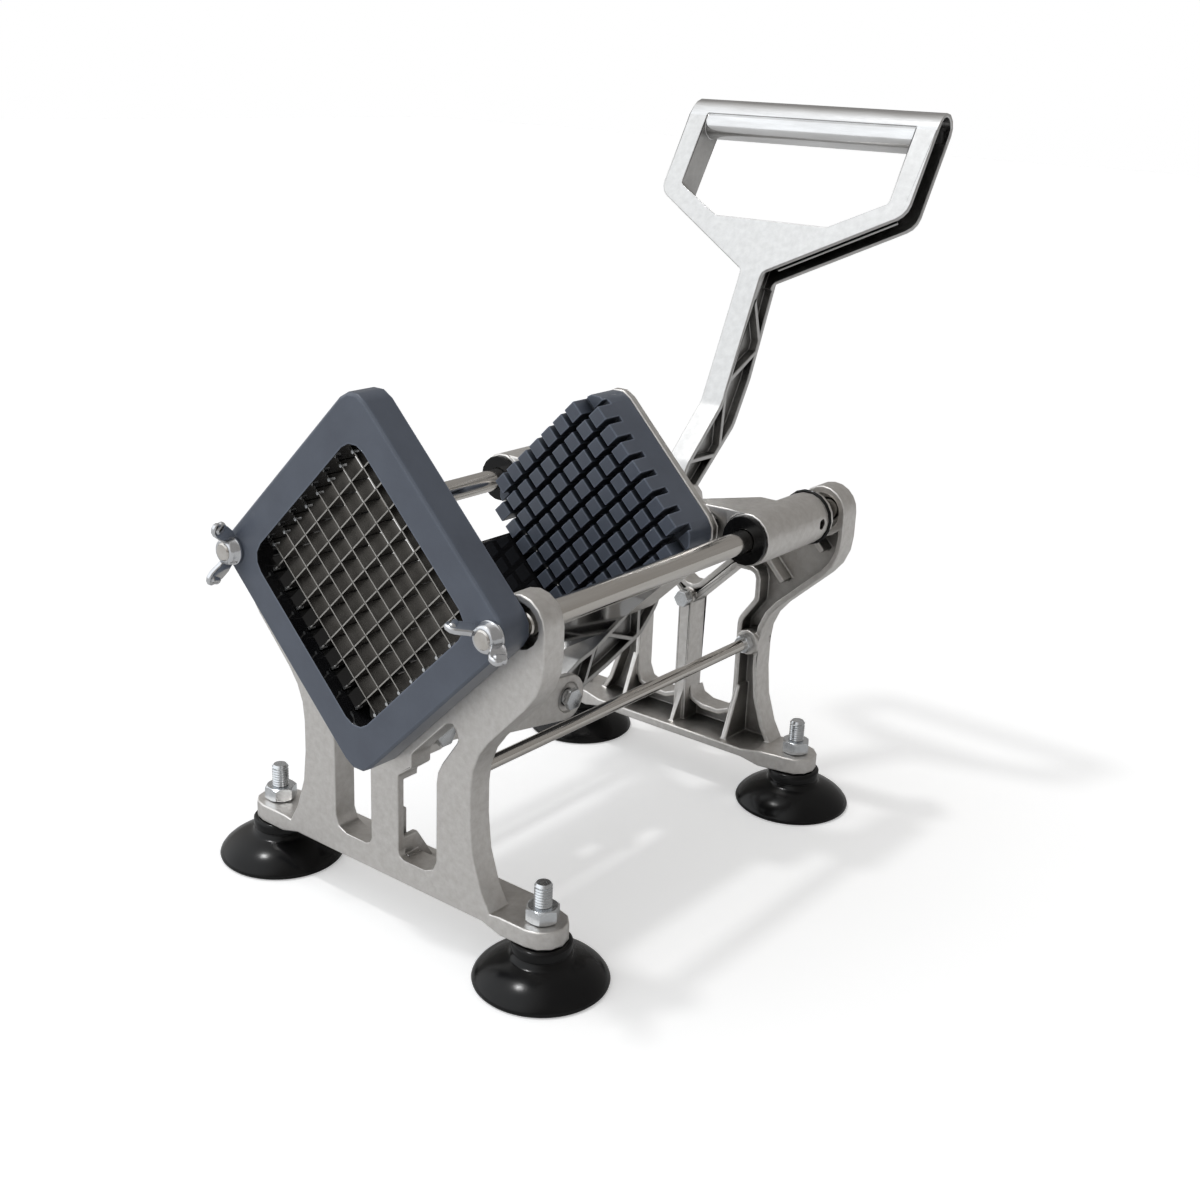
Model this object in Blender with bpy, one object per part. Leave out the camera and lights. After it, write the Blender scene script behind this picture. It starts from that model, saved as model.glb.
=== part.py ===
"""Lever-operated french fry cutter: two cast frames joined by guide rods, a blade box, a pusher on a
carriage, and the lever with its link. Metres, +Z up, front of the cutter towards -Y, ground at Z = 0."""
import math

import bmesh
import bpy
from mathutils import Matrix, Vector

# Overall layout
ROD_SPACING = 0.150
ROD_HEIGHT = 0.159
FRONT_FACE = -0.1471
REAR_FACE = 0.0889
FIT = 0.0003
RUNNING_GAP = 0.0008
CUT_OVERRUN = 0.010
ARC_STEPS = 3
ROUND_SEGMENTS = 18
SMALL_SEGMENTS = 12
SHARP_ANGLE = math.radians(32.0)
FLAT_ANGLE = math.radians(0.2)
MERGE = 0.000001
LEAST_MITRE_SHARE = 0.3
SIDES = (("right", 1), ("left", -1))

# Cast frames
FRAME_DEPTH = 0.012
FRAME_WEB = 0.004
FRAME_RIM = 0.003
FRAME_BOTTOM = 0.0227
FRONT_LEG_HALF = 0.0505
REAR_LEG_HALF = 0.0450
LEG_WIDTH = 0.0195
REAR_LEG_WIDTH = 0.0141
REAR_COLUMN_HALF = 0.0037
REAR_COLUMN_DEPTH = 0.0160
REAR_WINDOW_BOTTOM = 0.0375
REAR_WINDOW_RADIUS = 0.0090
REAR_WINDOW_REACH = 0.0400
REAR_WINDOW_TOP_ABOVE_ARMS = 0.02802
REAR_WINDOW_BEND_ABOVE_ARMS = 0.00102
REAR_WINDOW_NOTCH_ABOVE_ARMS = 0.01402
REAR_ARM_WIDTH = 0.0062
REAR_GUSSET_HEIGHT = 0.0300
LEG_SHOULDER_BELOW_RODS = 0.0642
LEG_SHOULDER_RADIUS = 0.056
LEG_UPPER_BELOW_RODS = 0.0245
LEG_UPPER_RADIUS = 0.032
LEG_FLARE_HEIGHT = 0.067
LEG_FLARE_RADIUS = 0.075
BOSS_RADIUS = 0.0128
BOSS_RECESS_RADIUS = 0.0092
BOSS_RECESS_DEPTH = 0.006
COLUMN_HALF = 0.0085
COLUMN_RIB = 0.004
HEAD_HALF = 0.0165
HEAD_ABOVE_ARMS = 0.00702
HEAD_STEP = 0.003
WINDOW_BOTTOM = 0.0342
WINDOW_RADIUS = 0.0035
WINDOW_BEND_ABOVE_ARMS = 0.01352
WINDOW_NOTCH = 0.0125
WINDOW_NOTCH_ABOVE_ARMS = 0.03152
ARM_WIDTH = 0.0155
GUSSET_THICKNESS = 0.003
GUSSET_HEIGHT = 0.018
PANEL_RIB = 0.003
PANEL_LENGTH = 0.048
PANEL_RIB_SHARES = (0.52, 0.80)

# Base flange and feet
BASE_THICKNESS = 0.0045
BASE_WIDTH = 0.0265
BASE_CORNER_RADIUS = 0.008
FOOT_TAB_BOTTOM = 0.020
FOOT_TAB_THICKNESS = 0.0085
FOOT_TAB_RADIUS = 0.01125
FRONT_FOOT_HALF = 0.0814
REAR_FOOT_HALF = 0.0715
TAB_ROOT = 0.024
TAB_SLOPE = 0.010
STUD_RADIUS = 0.0039
STUD_CLEARANCE = 0.0004
STUD_TOP = 0.0459
NUT_ACROSS_FLATS = 0.013
NUT_HEIGHT = 0.0065
CUP_RADIUS = 0.0292
CUP_HEIGHT = FOOT_TAB_BOTTOM - FIT
CUP_COLLAR_RADIUS = 0.013
CUP_SHARES = ((0.985, 0.0), (1.0, 0.05), (0.95, 0.20), (0.78, 0.43), (0.55, 0.57), (0.415, 0.62))
CUP_HOLLOW_SHARES = ((0.94, 0.0), (0.66, 0.20), (0.20, 0.33))
COLLAR_GROOVE = 0.0012
COLLAR_GROOVE_SHARES = (0.66, 0.72, 0.78)

# Guide rods, with threaded ends for the wing nuts in front and hexagon nuts behind
ROD_RADIUS = 0.0054
ROD_SLIDE_GAP = 0.0003
THREAD_RADIUS = 0.0039
ROD_FRONT_REACH = 0.0065
ROD_CHAMFER = 0.0006
ROD_NUT_REACH = 0.002

# Tie rods low between the frames
TIE_SPACING = 0.078
TIE_BELOW_RODS = 0.078
TIE_RADIUS = 0.003
TIE_BOSS_RADIUS = 0.0068
TIE_BOSS_LENGTH = 0.0145
TIE_NUT_ACROSS_FLATS = 0.0085
TIE_NUT_HEIGHT = 0.0045
TIE_FOOT_DEPTH = 0.008

# Blade box and blades
BOX_MARGIN = 0.013934
BOX_WALL = 0.015
BOX_DEPTH = 0.015
BOX_CORNER_RADIUS = 0.0105
BOX_EDGE = 0.001
OPENING_CORNER_RADIUS = 0.009
CELLS = 9
BLADE_THICKNESS = 0.0006
BLADE_DEPTH = 0.0088
BLADE_GROOVE = 0.002
BLADE_LAP_GAP = 0.0003
BOX_SEAT_GAP = FIT

# Food trough behind the box
TROUGH_WALL = 0.0022
TROUGH_REACH = 0.139
TROUGH_TOP_BELOW_RODS = 0.0185
TROUGH_SLOT_HALF = 0.0095
TROUGH_BRIDGE = 0.014
TROUGH_CORNER_RADIUS = 0.006
TROUGH_SEAT_GAP = FIT

# Pusher block
PUSHER_MARGIN = 0.001
PUSHER_TIPS = -0.01785
PUSHER_DEPTH = 0.0243
PUSHER_CORNER_RADIUS = 0.010
FINGER_DEPTH = 0.010
FINGER_SLOT = 0.0028
CORNER_BLOCK_HEIGHT = 0.003
PUSHER_NOTCH_DEPTH = 0.010
PUSHER_NOTCH_TOP = 0.1115

# Carriage
PLATE_OVERLAP = 0.0005
PLATE_THICKNESS = 0.004
PLATE_CORNER_RADIUS = 0.0105
CARRIAGE_RIM = 0.003
CARRIAGE_RIM_DEPTH = 0.020
SLEEVE_RADIUS = 0.0125
SLEEVE_FRONT = 0.0099
SLEEVE_LENGTH = 0.057
WING_THICKNESS = 0.0035
WING_BOTTOM_BELOW_RODS = 0.0115
WING_ROOT = 0.043
WING_REACH = 0.030
WING_POCKET_DEPTH = 0.012
LEVER_PATH_HALF = 0.0085
LEVER_PATH_HEIGHT = 0.118
SETSCREW_RADIUS = 0.0025
SETSCREW_SHARE = 0.83
RING_RADIUS = 0.0116
RING_THICKNESS = 0.0025
ORING_SECTION = 0.0010
ORING_GROOVE = 0.0010
ORING_SHARE = 0.93
ORING_FACETS = 4
CLEVIS_INNER = 0.0074
CLEVIS_THICKNESS = 0.0045
CLEVIS_RADIUS = 0.011
CLEVIS_ROOT = 0.034

# Lever: an I-section beam with truss ribs and a D-handle
LEVER_WIDTH = 0.0128
LEVER_FLANGE = 0.0026
LEVER_WEB = 0.0036
LEVER_RIB = 0.0022
LEVER_PIVOT_BEFORE_REAR = 0.033
LEVER_PIVOT_BELOW_RODS = 0.006
LINK_PIVOT_BEHIND_FRONT = 0.111
LINK_PIVOT_ABOVE_ARMS = 0.00652
FRAME_PIVOT_BEHIND_FRONT = 0.023
FRAME_PIVOT_ABOVE_ARMS = 0.01752
LEVER_EYE_RADIUS = 0.0085
LEVER_HUB_RADIUS = 0.0104
LEVER_REACH = 0.0596
LEVER_RISE = 0.1125
LEVER_BEND_RADIUS = 0.012
TENON_SHARE = 0.06
FRONT_LEG_SHARES = ((-0.861, -0.810), (-0.735, -0.775), (-0.526, -0.658), (-0.350, -0.545))
FRONT_ARM_SHARES = ((0.049, 0.182), (0.495, 0.415))
REAR_LEG_SHARES = ((-0.841, -1.025), (-0.616, -0.947), (-0.317, -0.817), (-0.175, -0.655), (-0.148, -0.538))
REAR_ARM_SHARES = ((0.158, 0.026), (0.727, 0.292), (0.935, 0.495))
TRUSS_FRONT_SHARES = (0.055, 0.095, 0.222, 0.222, 0.370, 0.530, 0.735, 0.735, 0.955)
TRUSS_REAR_SHARES = (0.010, 0.183, 0.190, 0.330, 0.340, 0.615, 0.625, 0.858, 0.868)
HANDLE_ANGLE = math.radians(59.4)
HANDLE_DEPTH = 0.0160
HANDLE_HALF = 0.0745
HANDLE_SHOULDER = 0.0375
HANDLE_NECK_CORNER = -0.0015
HANDLE_NECK_ROOT = 0.0050
HANDLE_WALL = 0.0118
HANDLE_OPENING_TOP = 0.0845
HANDLE_OPENING_CORNER = 0.0424
HANDLE_OPENING_BOTTOM = 0.0266
HANDLE_OPENING_BOTTOM_HALF = 0.0340
HANDLE_FLANGE = 0.0024
HANDLE_CORNER_RADIUS = 0.010
GRIP_RADIUS = 0.0076
GRIP_HEIGHT = 0.0818
ROLL_HEIGHT = 0.0882
PIN_RADIUS = 0.0040
PIN_GAP = 0.0003

# Link between the lever's lower end and the front frame
LINK_WIDTH = 0.0220
LINK_FORK_INNER = 0.0070
LINK_EYE_RADIUS = 0.0115
LINK_TONGUE = 0.0110
LINK_TONGUE_RADIUS = 0.0080
LINK_RECESS = 0.0012
LINK_RECESS_RADIUS = 0.0075
FORK_DEPTH = 0.026
TONGUE_DEPTH = 0.024
LUG_INNER = 0.0068
LUG_THICKNESS = 0.0050
LUG_RADIUS = 0.0080

# Wing nuts and the stop screw
WING_NUT_RADIUS = 0.0066
WING_NUT_HEIGHT = 0.0055
WING_NUT_SPAN = 0.0280
WING_NUT_RISE = 0.0125
WING_NUT_THICKNESS = 0.0022
WING_NUT_TURN = {"left": math.radians(78.0), "right": math.radians(-17.0)}
STOP_SCREW_ABOVE_ARMS = 0.00552
STOP_SCREW_RADIUS = 0.0025
STOP_HEAD_ACROSS_FLATS = 0.008
STOP_HEAD_HEIGHT = 0.004
STOP_SHANK = 0.0085

# Places that follow from the sizes above
ROD_X = ROD_SPACING / 2
TIE_X = TIE_SPACING / 2
ROOT_TWO = math.sqrt(2.0)
BOX_SIDE = ROD_SPACING / ROOT_TWO + BOX_MARGIN
OPENING_SIDE = BOX_SIDE - BOX_WALL * 2
PITCH = OPENING_SIDE / CELLS
TROUGH_OFFSET = OPENING_SIDE / 2 + FIT
PUSHER_SIDE = OPENING_SIDE - PUSHER_MARGIN * 2
PLATE_SIDE = PUSHER_SIDE + PLATE_OVERLAP * 2
ARM_INNER = TROUGH_OFFSET + TROUGH_WALL + TROUGH_SEAT_GAP
ARM_CREST_RADIUS = TROUGH_CORNER_RADIUS + TROUGH_WALL + TROUGH_SEAT_GAP
ARM_OUTER = ARM_INNER + ARM_WIDTH
REAR_ARM_OUTER = ARM_INNER + FIT
REAR_ARM_INNER = REAR_ARM_OUTER - REAR_ARM_WIDTH
ARM_FOOT = ROD_HEIGHT - ARM_OUTER * ROOT_TWO
REAR_ARM_FOOT = ROD_HEIGHT - REAR_ARM_OUTER * ROOT_TWO
LEG_SHOULDER_HEIGHT = ROD_HEIGHT - LEG_SHOULDER_BELOW_RODS
LEG_UPPER_HEIGHT = ROD_HEIGHT - LEG_UPPER_BELOW_RODS
HEAD_HEIGHT = ARM_FOOT + HEAD_ABOVE_ARMS
WINDOW_BEND_HEIGHT = ARM_FOOT + WINDOW_BEND_ABOVE_ARMS
WINDOW_NOTCH_HEIGHT = ARM_FOOT + WINDOW_NOTCH_ABOVE_ARMS
TIE_HEIGHT = ROD_HEIGHT - TIE_BELOW_RODS
STOP_SCREW_HEIGHT = REAR_ARM_FOOT + STOP_SCREW_ABOVE_ARMS
LEVER_PIVOT = (REAR_FACE - LEVER_PIVOT_BEFORE_REAR, ROD_HEIGHT - LEVER_PIVOT_BELOW_RODS)
LINK_PIVOT = (FRONT_FACE + LINK_PIVOT_BEHIND_FRONT, ARM_FOOT + LINK_PIVOT_ABOVE_ARMS)
FRAME_PIVOT = (FRONT_FACE + FRAME_PIVOT_BEHIND_FRONT, ARM_FOOT + FRAME_PIVOT_ABOVE_ARMS)
BOX_REAR = FRONT_FACE - BOX_SEAT_GAP
BOX_FRONT = BOX_REAR - BOX_DEPTH
PUSHER_REAR = PUSHER_TIPS + PUSHER_DEPTH
PLATE_FRONT = PUSHER_REAR + FIT
PLATE_REAR = PLATE_FRONT + PLATE_THICKNESS
FOOT_TAB_TOP = FOOT_TAB_BOTTOM + FOOT_TAB_THICKNESS
FULL_TURN = math.tau


def clear_scene():
    for obj in list(bpy.data.objects):
        bpy.data.objects.remove(obj)


def material(name, colour, roughness, metallic):
    """A Principled material in the part's own colour."""
    mat = bpy.data.materials.new(name)
    mat.use_nodes = True
    shader = mat.node_tree.nodes["Principled BSDF"]
    shader.inputs["Base Color"].default_value = (*colour, 1.0)
    shader.inputs["Roughness"].default_value = roughness
    shader.inputs["Metallic"].default_value = metallic
    mat.diffuse_color = (*colour, 1.0)
    return mat


def object_from(bm, name):
    """Link a bmesh to the scene as an object with outward faces."""
    bmesh.ops.recalc_face_normals(bm, faces=bm.faces)
    mesh = bpy.data.meshes.new(name)
    bm.to_mesh(mesh)
    bm.free()
    obj = bpy.data.objects.new(name, mesh)
    bpy.context.scene.collection.objects.link(obj)
    return obj


def finish(obj, mat):
    """Merge coplanar facets, shade by angle and give the material."""
    bm = bmesh.new()
    bm.from_mesh(obj.data)
    bmesh.ops.remove_doubles(bm, verts=bm.verts, dist=MERGE)
    bmesh.ops.dissolve_limit(bm, angle_limit=FLAT_ANGLE, verts=bm.verts, edges=bm.edges)
    bm.to_mesh(obj.data)
    bm.free()
    obj.data.materials.clear()
    obj.data.materials.append(mat)
    obj.data.shade_smooth()
    obj.data.set_sharp_from_angle(angle=SHARP_ANGLE)
    return obj


AXES = {
    "X": lambda a, b, c: Vector((c, a, b)),
    "Y": lambda a, b, c: Vector((a, c, b)),
    "Z": lambda a, b, c: Vector((a, b, c)),
}


def prism(name, outline, axis, start, end):
    """Closed solid: an outline square to an axis, extruded along it from start to end."""
    bm = bmesh.new()
    place = AXES[axis]
    face = bm.faces.new([bm.verts.new(place(a, b, start)) for a, b in outline])
    grown = bmesh.ops.extrude_face_region(bm, geom=[face])
    verts = [item for item in grown["geom"] if isinstance(item, bmesh.types.BMVert)]
    bmesh.ops.translate(bm, verts=verts, vec=place(0, 0, end - start))
    return object_from(bm, name)


def prisms(name, outlines, axis, start, end):
    """Several separate prisms in one object, for use as one cutter."""
    bm = bmesh.new()
    place = AXES[axis]
    for outline in outlines:
        face = bm.faces.new([bm.verts.new(place(a, b, start)) for a, b in outline])
        grown = bmesh.ops.extrude_face_region(bm, geom=[face])
        verts = [item for item in grown["geom"] if isinstance(item, bmesh.types.BMVert)]
        bmesh.ops.translate(bm, verts=verts, vec=place(0, 0, end - start))
    return object_from(bm, name)


def lathe(name, profile, axis, centre, segments=ROUND_SEGMENTS):
    """Spin a profile of (radius, place along the axis) points about an axis through centre."""
    bm = bmesh.new()
    place = AXES[axis]
    origin = place(centre[0], centre[1], 0)
    verts = [bm.verts.new(origin + place(radius, 0, along)) for radius, along in profile]
    pairs = zip(verts, verts[1:] + verts[:1], profile, profile[1:] + profile[:1])
    edges = [bm.edges.new((first, second)) for first, second, a, b in pairs if a[0] > 0 or b[0] > 0]
    bmesh.ops.spin(bm, geom=verts + edges, cent=origin, axis=place(0, 0, 1), angle=FULL_TURN,
                   steps=segments, use_merge=True)
    bmesh.ops.remove_doubles(bm, verts=bm.verts, dist=MERGE)
    bmesh.ops.dissolve_limit(bm, angle_limit=FLAT_ANGLE, verts=bm.verts, edges=bm.edges)
    return object_from(bm, name)


def cylinder(name, axis, centre, radius, start, end, segments=ROUND_SEGMENTS):
    profile = ((0, start), (radius, start), (radius, end), (0, end))
    return lathe(name, profile, axis, centre, segments)


def circle(centre, radius, segments=ROUND_SEGMENTS, turn=0.0):
    angles = [turn + FULL_TURN * i / segments for i in range(segments)]
    return [(centre[0] + radius * math.cos(a), centre[1] + radius * math.sin(a)) for a in angles]


def arc(centre, radius, start, end, steps=ARC_STEPS):
    angles = [start + (end - start) * i / steps for i in range(steps + 1)]
    return [(centre[0] + radius * math.cos(a), centre[1] + radius * math.sin(a)) for a in angles]


def rounded(corners, steps=ARC_STEPS):
    """Outline through (a, b, radius) corners, each corner turned by an arc of its radius."""
    outline = []
    count = len(corners)
    for i, (a, b, radius) in enumerate(corners):
        corner = Vector((a, b))
        back = Vector(corners[i - 1][:2]) - corner
        ahead = Vector(corners[(i + 1) % count][:2]) - corner
        if radius <= 0:
            outline.append((a, b))
            continue
        half = back.angle(ahead) / 2
        reach = min(radius / math.tan(half), back.length / 2, ahead.length / 2)
        bend = reach * math.tan(half)
        centre = corner + (back.normalized() + ahead.normalized()).normalized() * (bend / math.sin(half))
        first = corner + back.normalized() * reach - centre
        last = corner + ahead.normalized() * reach - centre
        begin = math.atan2(first.y, first.x)
        sweep = math.remainder(math.atan2(last.y, last.x) - begin, FULL_TURN)
        outline += arc(centre, bend, begin, begin + sweep, steps)
    return [point for point, last in zip(outline, outline[-1:] + outline[:-1])
            if math.hypot(point[0] - last[0], point[1] - last[1]) > MERGE]


def both_sides(half):
    """Full outline from its right half, listed upwards from the bottom to the top."""
    return list(half) + [(-a, b) for a, b in reversed(half) if abs(a) > MERGE]


def offset(outline, distance):
    """Outline grown by a distance (shrunk if negative), with mitred corners; points run anticlockwise."""
    grown = []
    count = len(outline)
    for i in range(count):
        here = Vector(outline[i])
        back = (here - Vector(outline[i - 1])).normalized()
        ahead = (Vector(outline[(i + 1) % count]) - here).normalized()
        normal_back = Vector((back.y, -back.x))
        normal_ahead = Vector((ahead.y, -ahead.x))
        mitre = (normal_back + normal_ahead).normalized()
        stretch = max(mitre.dot(normal_ahead), LEAST_MITRE_SHARE)
        moved = here + mitre * (distance / stretch)
        grown.append((moved.x, moved.y))
    return grown


def anticlockwise(outline):
    area = sum(a[0] * b[1] - b[0] * a[1] for a, b in zip(outline, outline[1:] + outline[:1]))
    return outline if area > 0 else outline[::-1]


def diamond(side, radius, steps=ARC_STEPS):
    """Square with rounded corners, stood on one corner about the rods' height."""
    reach = side / ROOT_TWO
    corners = [(0, ROD_HEIGHT - reach, radius), (reach, ROD_HEIGHT, radius),
               (0, ROD_HEIGHT + reach, radius), (-reach, ROD_HEIGHT, radius)]
    return rounded(corners, steps)


def boolean(target, tools, operation):
    """Apply one or more exact Booleans to the target and remove the tools."""
    for tool in tools:
        modifier = target.modifiers.new(tool.name, "BOOLEAN")
        modifier.operation = operation
        modifier.solver = "EXACT"
        modifier.object = tool
    depsgraph = bpy.context.evaluated_depsgraph_get()
    mesh = bpy.data.meshes.new_from_object(target.evaluated_get(depsgraph))
    target.modifiers.clear()
    target.data = mesh
    for tool in tools:
        bpy.data.objects.remove(tool)
    return target


def cut(target, *tools):
    return boolean(target, tools, "DIFFERENCE")


def join(target, *tools):
    return boolean(target, tools, "UNION")


def move(obj, matrix):
    obj.data.transform(matrix)
    obj.data.update()
    return obj


def pivot_at(obj, point):
    """Put the object's origin on its joint's axis without moving its shape."""
    obj.data.transform(Matrix.Translation(-Vector(point)))
    obj.location = point
    return obj


def arm_line(distance, x):
    """Height of the line parallel to the box's lower right side, at a distance from the box's centre."""
    return ROD_HEIGHT - distance * ROOT_TWO + x


def frame_outline(leg_half, arm_inner):
    """Outer outline of a frame: legs flared into the base, shoulders, rod bosses and the V between them."""
    flare_centre = (leg_half + LEG_FLARE_RADIUS, LEG_FLARE_HEIGHT)
    drop = min((LEG_FLARE_HEIGHT - FRAME_BOTTOM) / LEG_FLARE_RADIUS, 1.0)
    flare = arc(flare_centre, LEG_FLARE_RADIUS, math.pi + math.asin(drop), math.pi)
    boss_edge = ROD_X + BOSS_RADIUS
    shoulders = rounded([(leg_half, LEG_FLARE_HEIGHT, 0),
                         (leg_half, LEG_SHOULDER_HEIGHT, LEG_SHOULDER_RADIUS),
                         (boss_edge, LEG_UPPER_HEIGHT, LEG_UPPER_RADIUS), (boss_edge, ROD_HEIGHT, 0)])
    shoulders = [point for point in shoulders if LEG_FLARE_HEIGHT < point[1] < ROD_HEIGHT]
    below = ROD_X / ROOT_TWO - arm_inner
    chord = math.sqrt(BOSS_RADIUS**2 - below**2)
    corner_angle = math.pi * 5 / 4 - math.atan2(below, chord)
    boss = arc((ROD_X, ROD_HEIGHT), BOSS_RADIUS, 0, corner_angle, ARC_STEPS * 3)
    crest = rounded([(ARM_CREST_RADIUS * 2, arm_line(arm_inner, ARM_CREST_RADIUS * 2), 0),
                     (0, arm_line(arm_inner, 0), ARM_CREST_RADIUS),
                     (-ARM_CREST_RADIUS * 2, arm_line(arm_inner, ARM_CREST_RADIUS * 2), 0)])
    crest = [point for point in crest[1:-1] if point[0] >= -MERGE]
    half = [(0, FRAME_BOTTOM)] + flare + shoulders + boss + crest
    return both_sides(half)


def window_outline(leg_half):
    """One opening between the middle column and a leg, on the right."""
    leg_inner = leg_half - LEG_WIDTH
    head_top = HEAD_HEIGHT + HEAD_STEP
    notch = leg_inner + WINDOW_NOTCH
    arm_corner = notch - HEAD_STEP
    corners = [(COLUMN_HALF, WINDOW_BOTTOM, WINDOW_RADIUS), (leg_inner, WINDOW_BOTTOM, WINDOW_RADIUS * 2),
               (leg_inner, WINDOW_BEND_HEIGHT, WINDOW_RADIUS * 5), (notch, WINDOW_NOTCH_HEIGHT,
                                                                    WINDOW_RADIUS),
               (arm_corner, arm_line(ARM_OUTER, arm_corner), WINDOW_RADIUS),
               (HEAD_HALF, arm_line(ARM_OUTER, HEAD_HALF), WINDOW_RADIUS),
               (HEAD_HALF, head_top, WINDOW_RADIUS / 2), (COLUMN_HALF, HEAD_HEIGHT - HEAD_STEP,
                                                          WINDOW_RADIUS / 2)]
    return rounded(corners, ARC_STEPS - 1)


def rear_window_outline():
    """The rear frame's opening on the right: open up to the slim arm, and wider above the leg."""
    leg_inner = REAR_LEG_HALF - REAR_LEG_WIDTH
    top = REAR_ARM_FOOT + REAR_WINDOW_TOP_ABOVE_ARMS
    bend = REAR_ARM_FOOT + REAR_WINDOW_BEND_ABOVE_ARMS
    notch = REAR_ARM_FOOT + REAR_WINDOW_NOTCH_ABOVE_ARMS
    top_start = top - arm_line(REAR_ARM_OUTER, 0)
    column = REAR_COLUMN_HALF - FIT
    corners = [(column, REAR_WINDOW_BOTTOM, REAR_WINDOW_RADIUS),
               (leg_inner, REAR_WINDOW_BOTTOM, REAR_WINDOW_RADIUS),
               (leg_inner, bend, REAR_WINDOW_RADIUS), (REAR_WINDOW_REACH, notch, WINDOW_RADIUS),
               (REAR_WINDOW_REACH, top, WINDOW_RADIUS), (top_start, top, WINDOW_RADIUS),
               (column, arm_line(REAR_ARM_OUTER, column), WINDOW_RADIUS / 2)]
    return rounded(corners, ARC_STEPS - 1)


def flipped(outline):
    return [(-a, b) for a, b in reversed(outline)]


def base_flange(name, foot_half, face):
    """Horizontal flange behind the web, with thicker foot tabs at both ends."""
    back = face + BASE_WIDTH
    tab_y = face + FOOT_TAB_RADIUS
    tab_start = foot_half - TAB_ROOT
    plan = both_sides([(0, face), (tab_start, face), (foot_half, face),
                       (foot_half, tab_y + FOOT_TAB_RADIUS / 2),
                       (tab_start, back), (0, back)])
    flange = prism(name, plan, "Z", FRAME_BOTTOM, FRAME_BOTTOM + BASE_THICKNESS)
    right_end = arc((foot_half, tab_y), FOOT_TAB_RADIUS, -math.pi / 2, math.pi / 2, ARC_STEPS * 2)
    tab_plan = [(tab_start, face)] + right_end + [(tab_start, back)]
    tab = prisms("foot_tabs", [tab_plan, flipped(tab_plan)], "Z", FOOT_TAB_BOTTOM, FOOT_TAB_TOP)
    outside = tab_start - CUT_OVERRUN
    below = [(outside, FOOT_TAB_BOTTOM - CUT_OVERRUN), (tab_start + TAB_SLOPE, FOOT_TAB_BOTTOM - CUT_OVERRUN),
             (tab_start + TAB_SLOPE, FOOT_TAB_BOTTOM), (tab_start, FRAME_BOTTOM), (outside, FRAME_BOTTOM)]
    flange_top = FRAME_BOTTOM + BASE_THICKNESS
    above = [(outside, flange_top), (tab_start, flange_top), (tab_start + TAB_SLOPE, FOOT_TAB_TOP),
             (tab_start + TAB_SLOPE, FOOT_TAB_TOP + CUT_OVERRUN), (outside, FOOT_TAB_TOP + CUT_OVERRUN)]
    slopes = prisms("tab_slopes", [below, above, flipped(below), flipped(above)], "Y",
                    face - CUT_OVERRUN, back + CUT_OVERRUN)
    cut(tab, slopes)
    return join(flange, tab)

def column_channel():
    """Channel in the back of the front frame's column, with a middle rib left standing."""
    side = COLUMN_HALF + FRAME_RIM
    top = HEAD_HEIGHT - FRAME_RIM * 2
    start = FRONT_FACE + FRAME_WEB
    end = FRONT_FACE + FRAME_DEPTH + CUT_OVERRUN
    outline = [(-side, WINDOW_BOTTOM), (side, WINDOW_BOTTOM), (side, top), (-side, top)]
    zone = prism("column_channel", outline, "Y", start, end)
    half = COLUMN_RIB / 2
    rib_top = WINDOW_BOTTOM + GUSSET_HEIGHT
    rib = prism("column_rib", [(-half, FRAME_BOTTOM), (half, FRAME_BOTTOM), (half, rib_top),
                               (-half, rib_top)],
                "Y", FRONT_FACE, end + CUT_OVERRUN)
    cut(zone, rib)
    return zone


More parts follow.
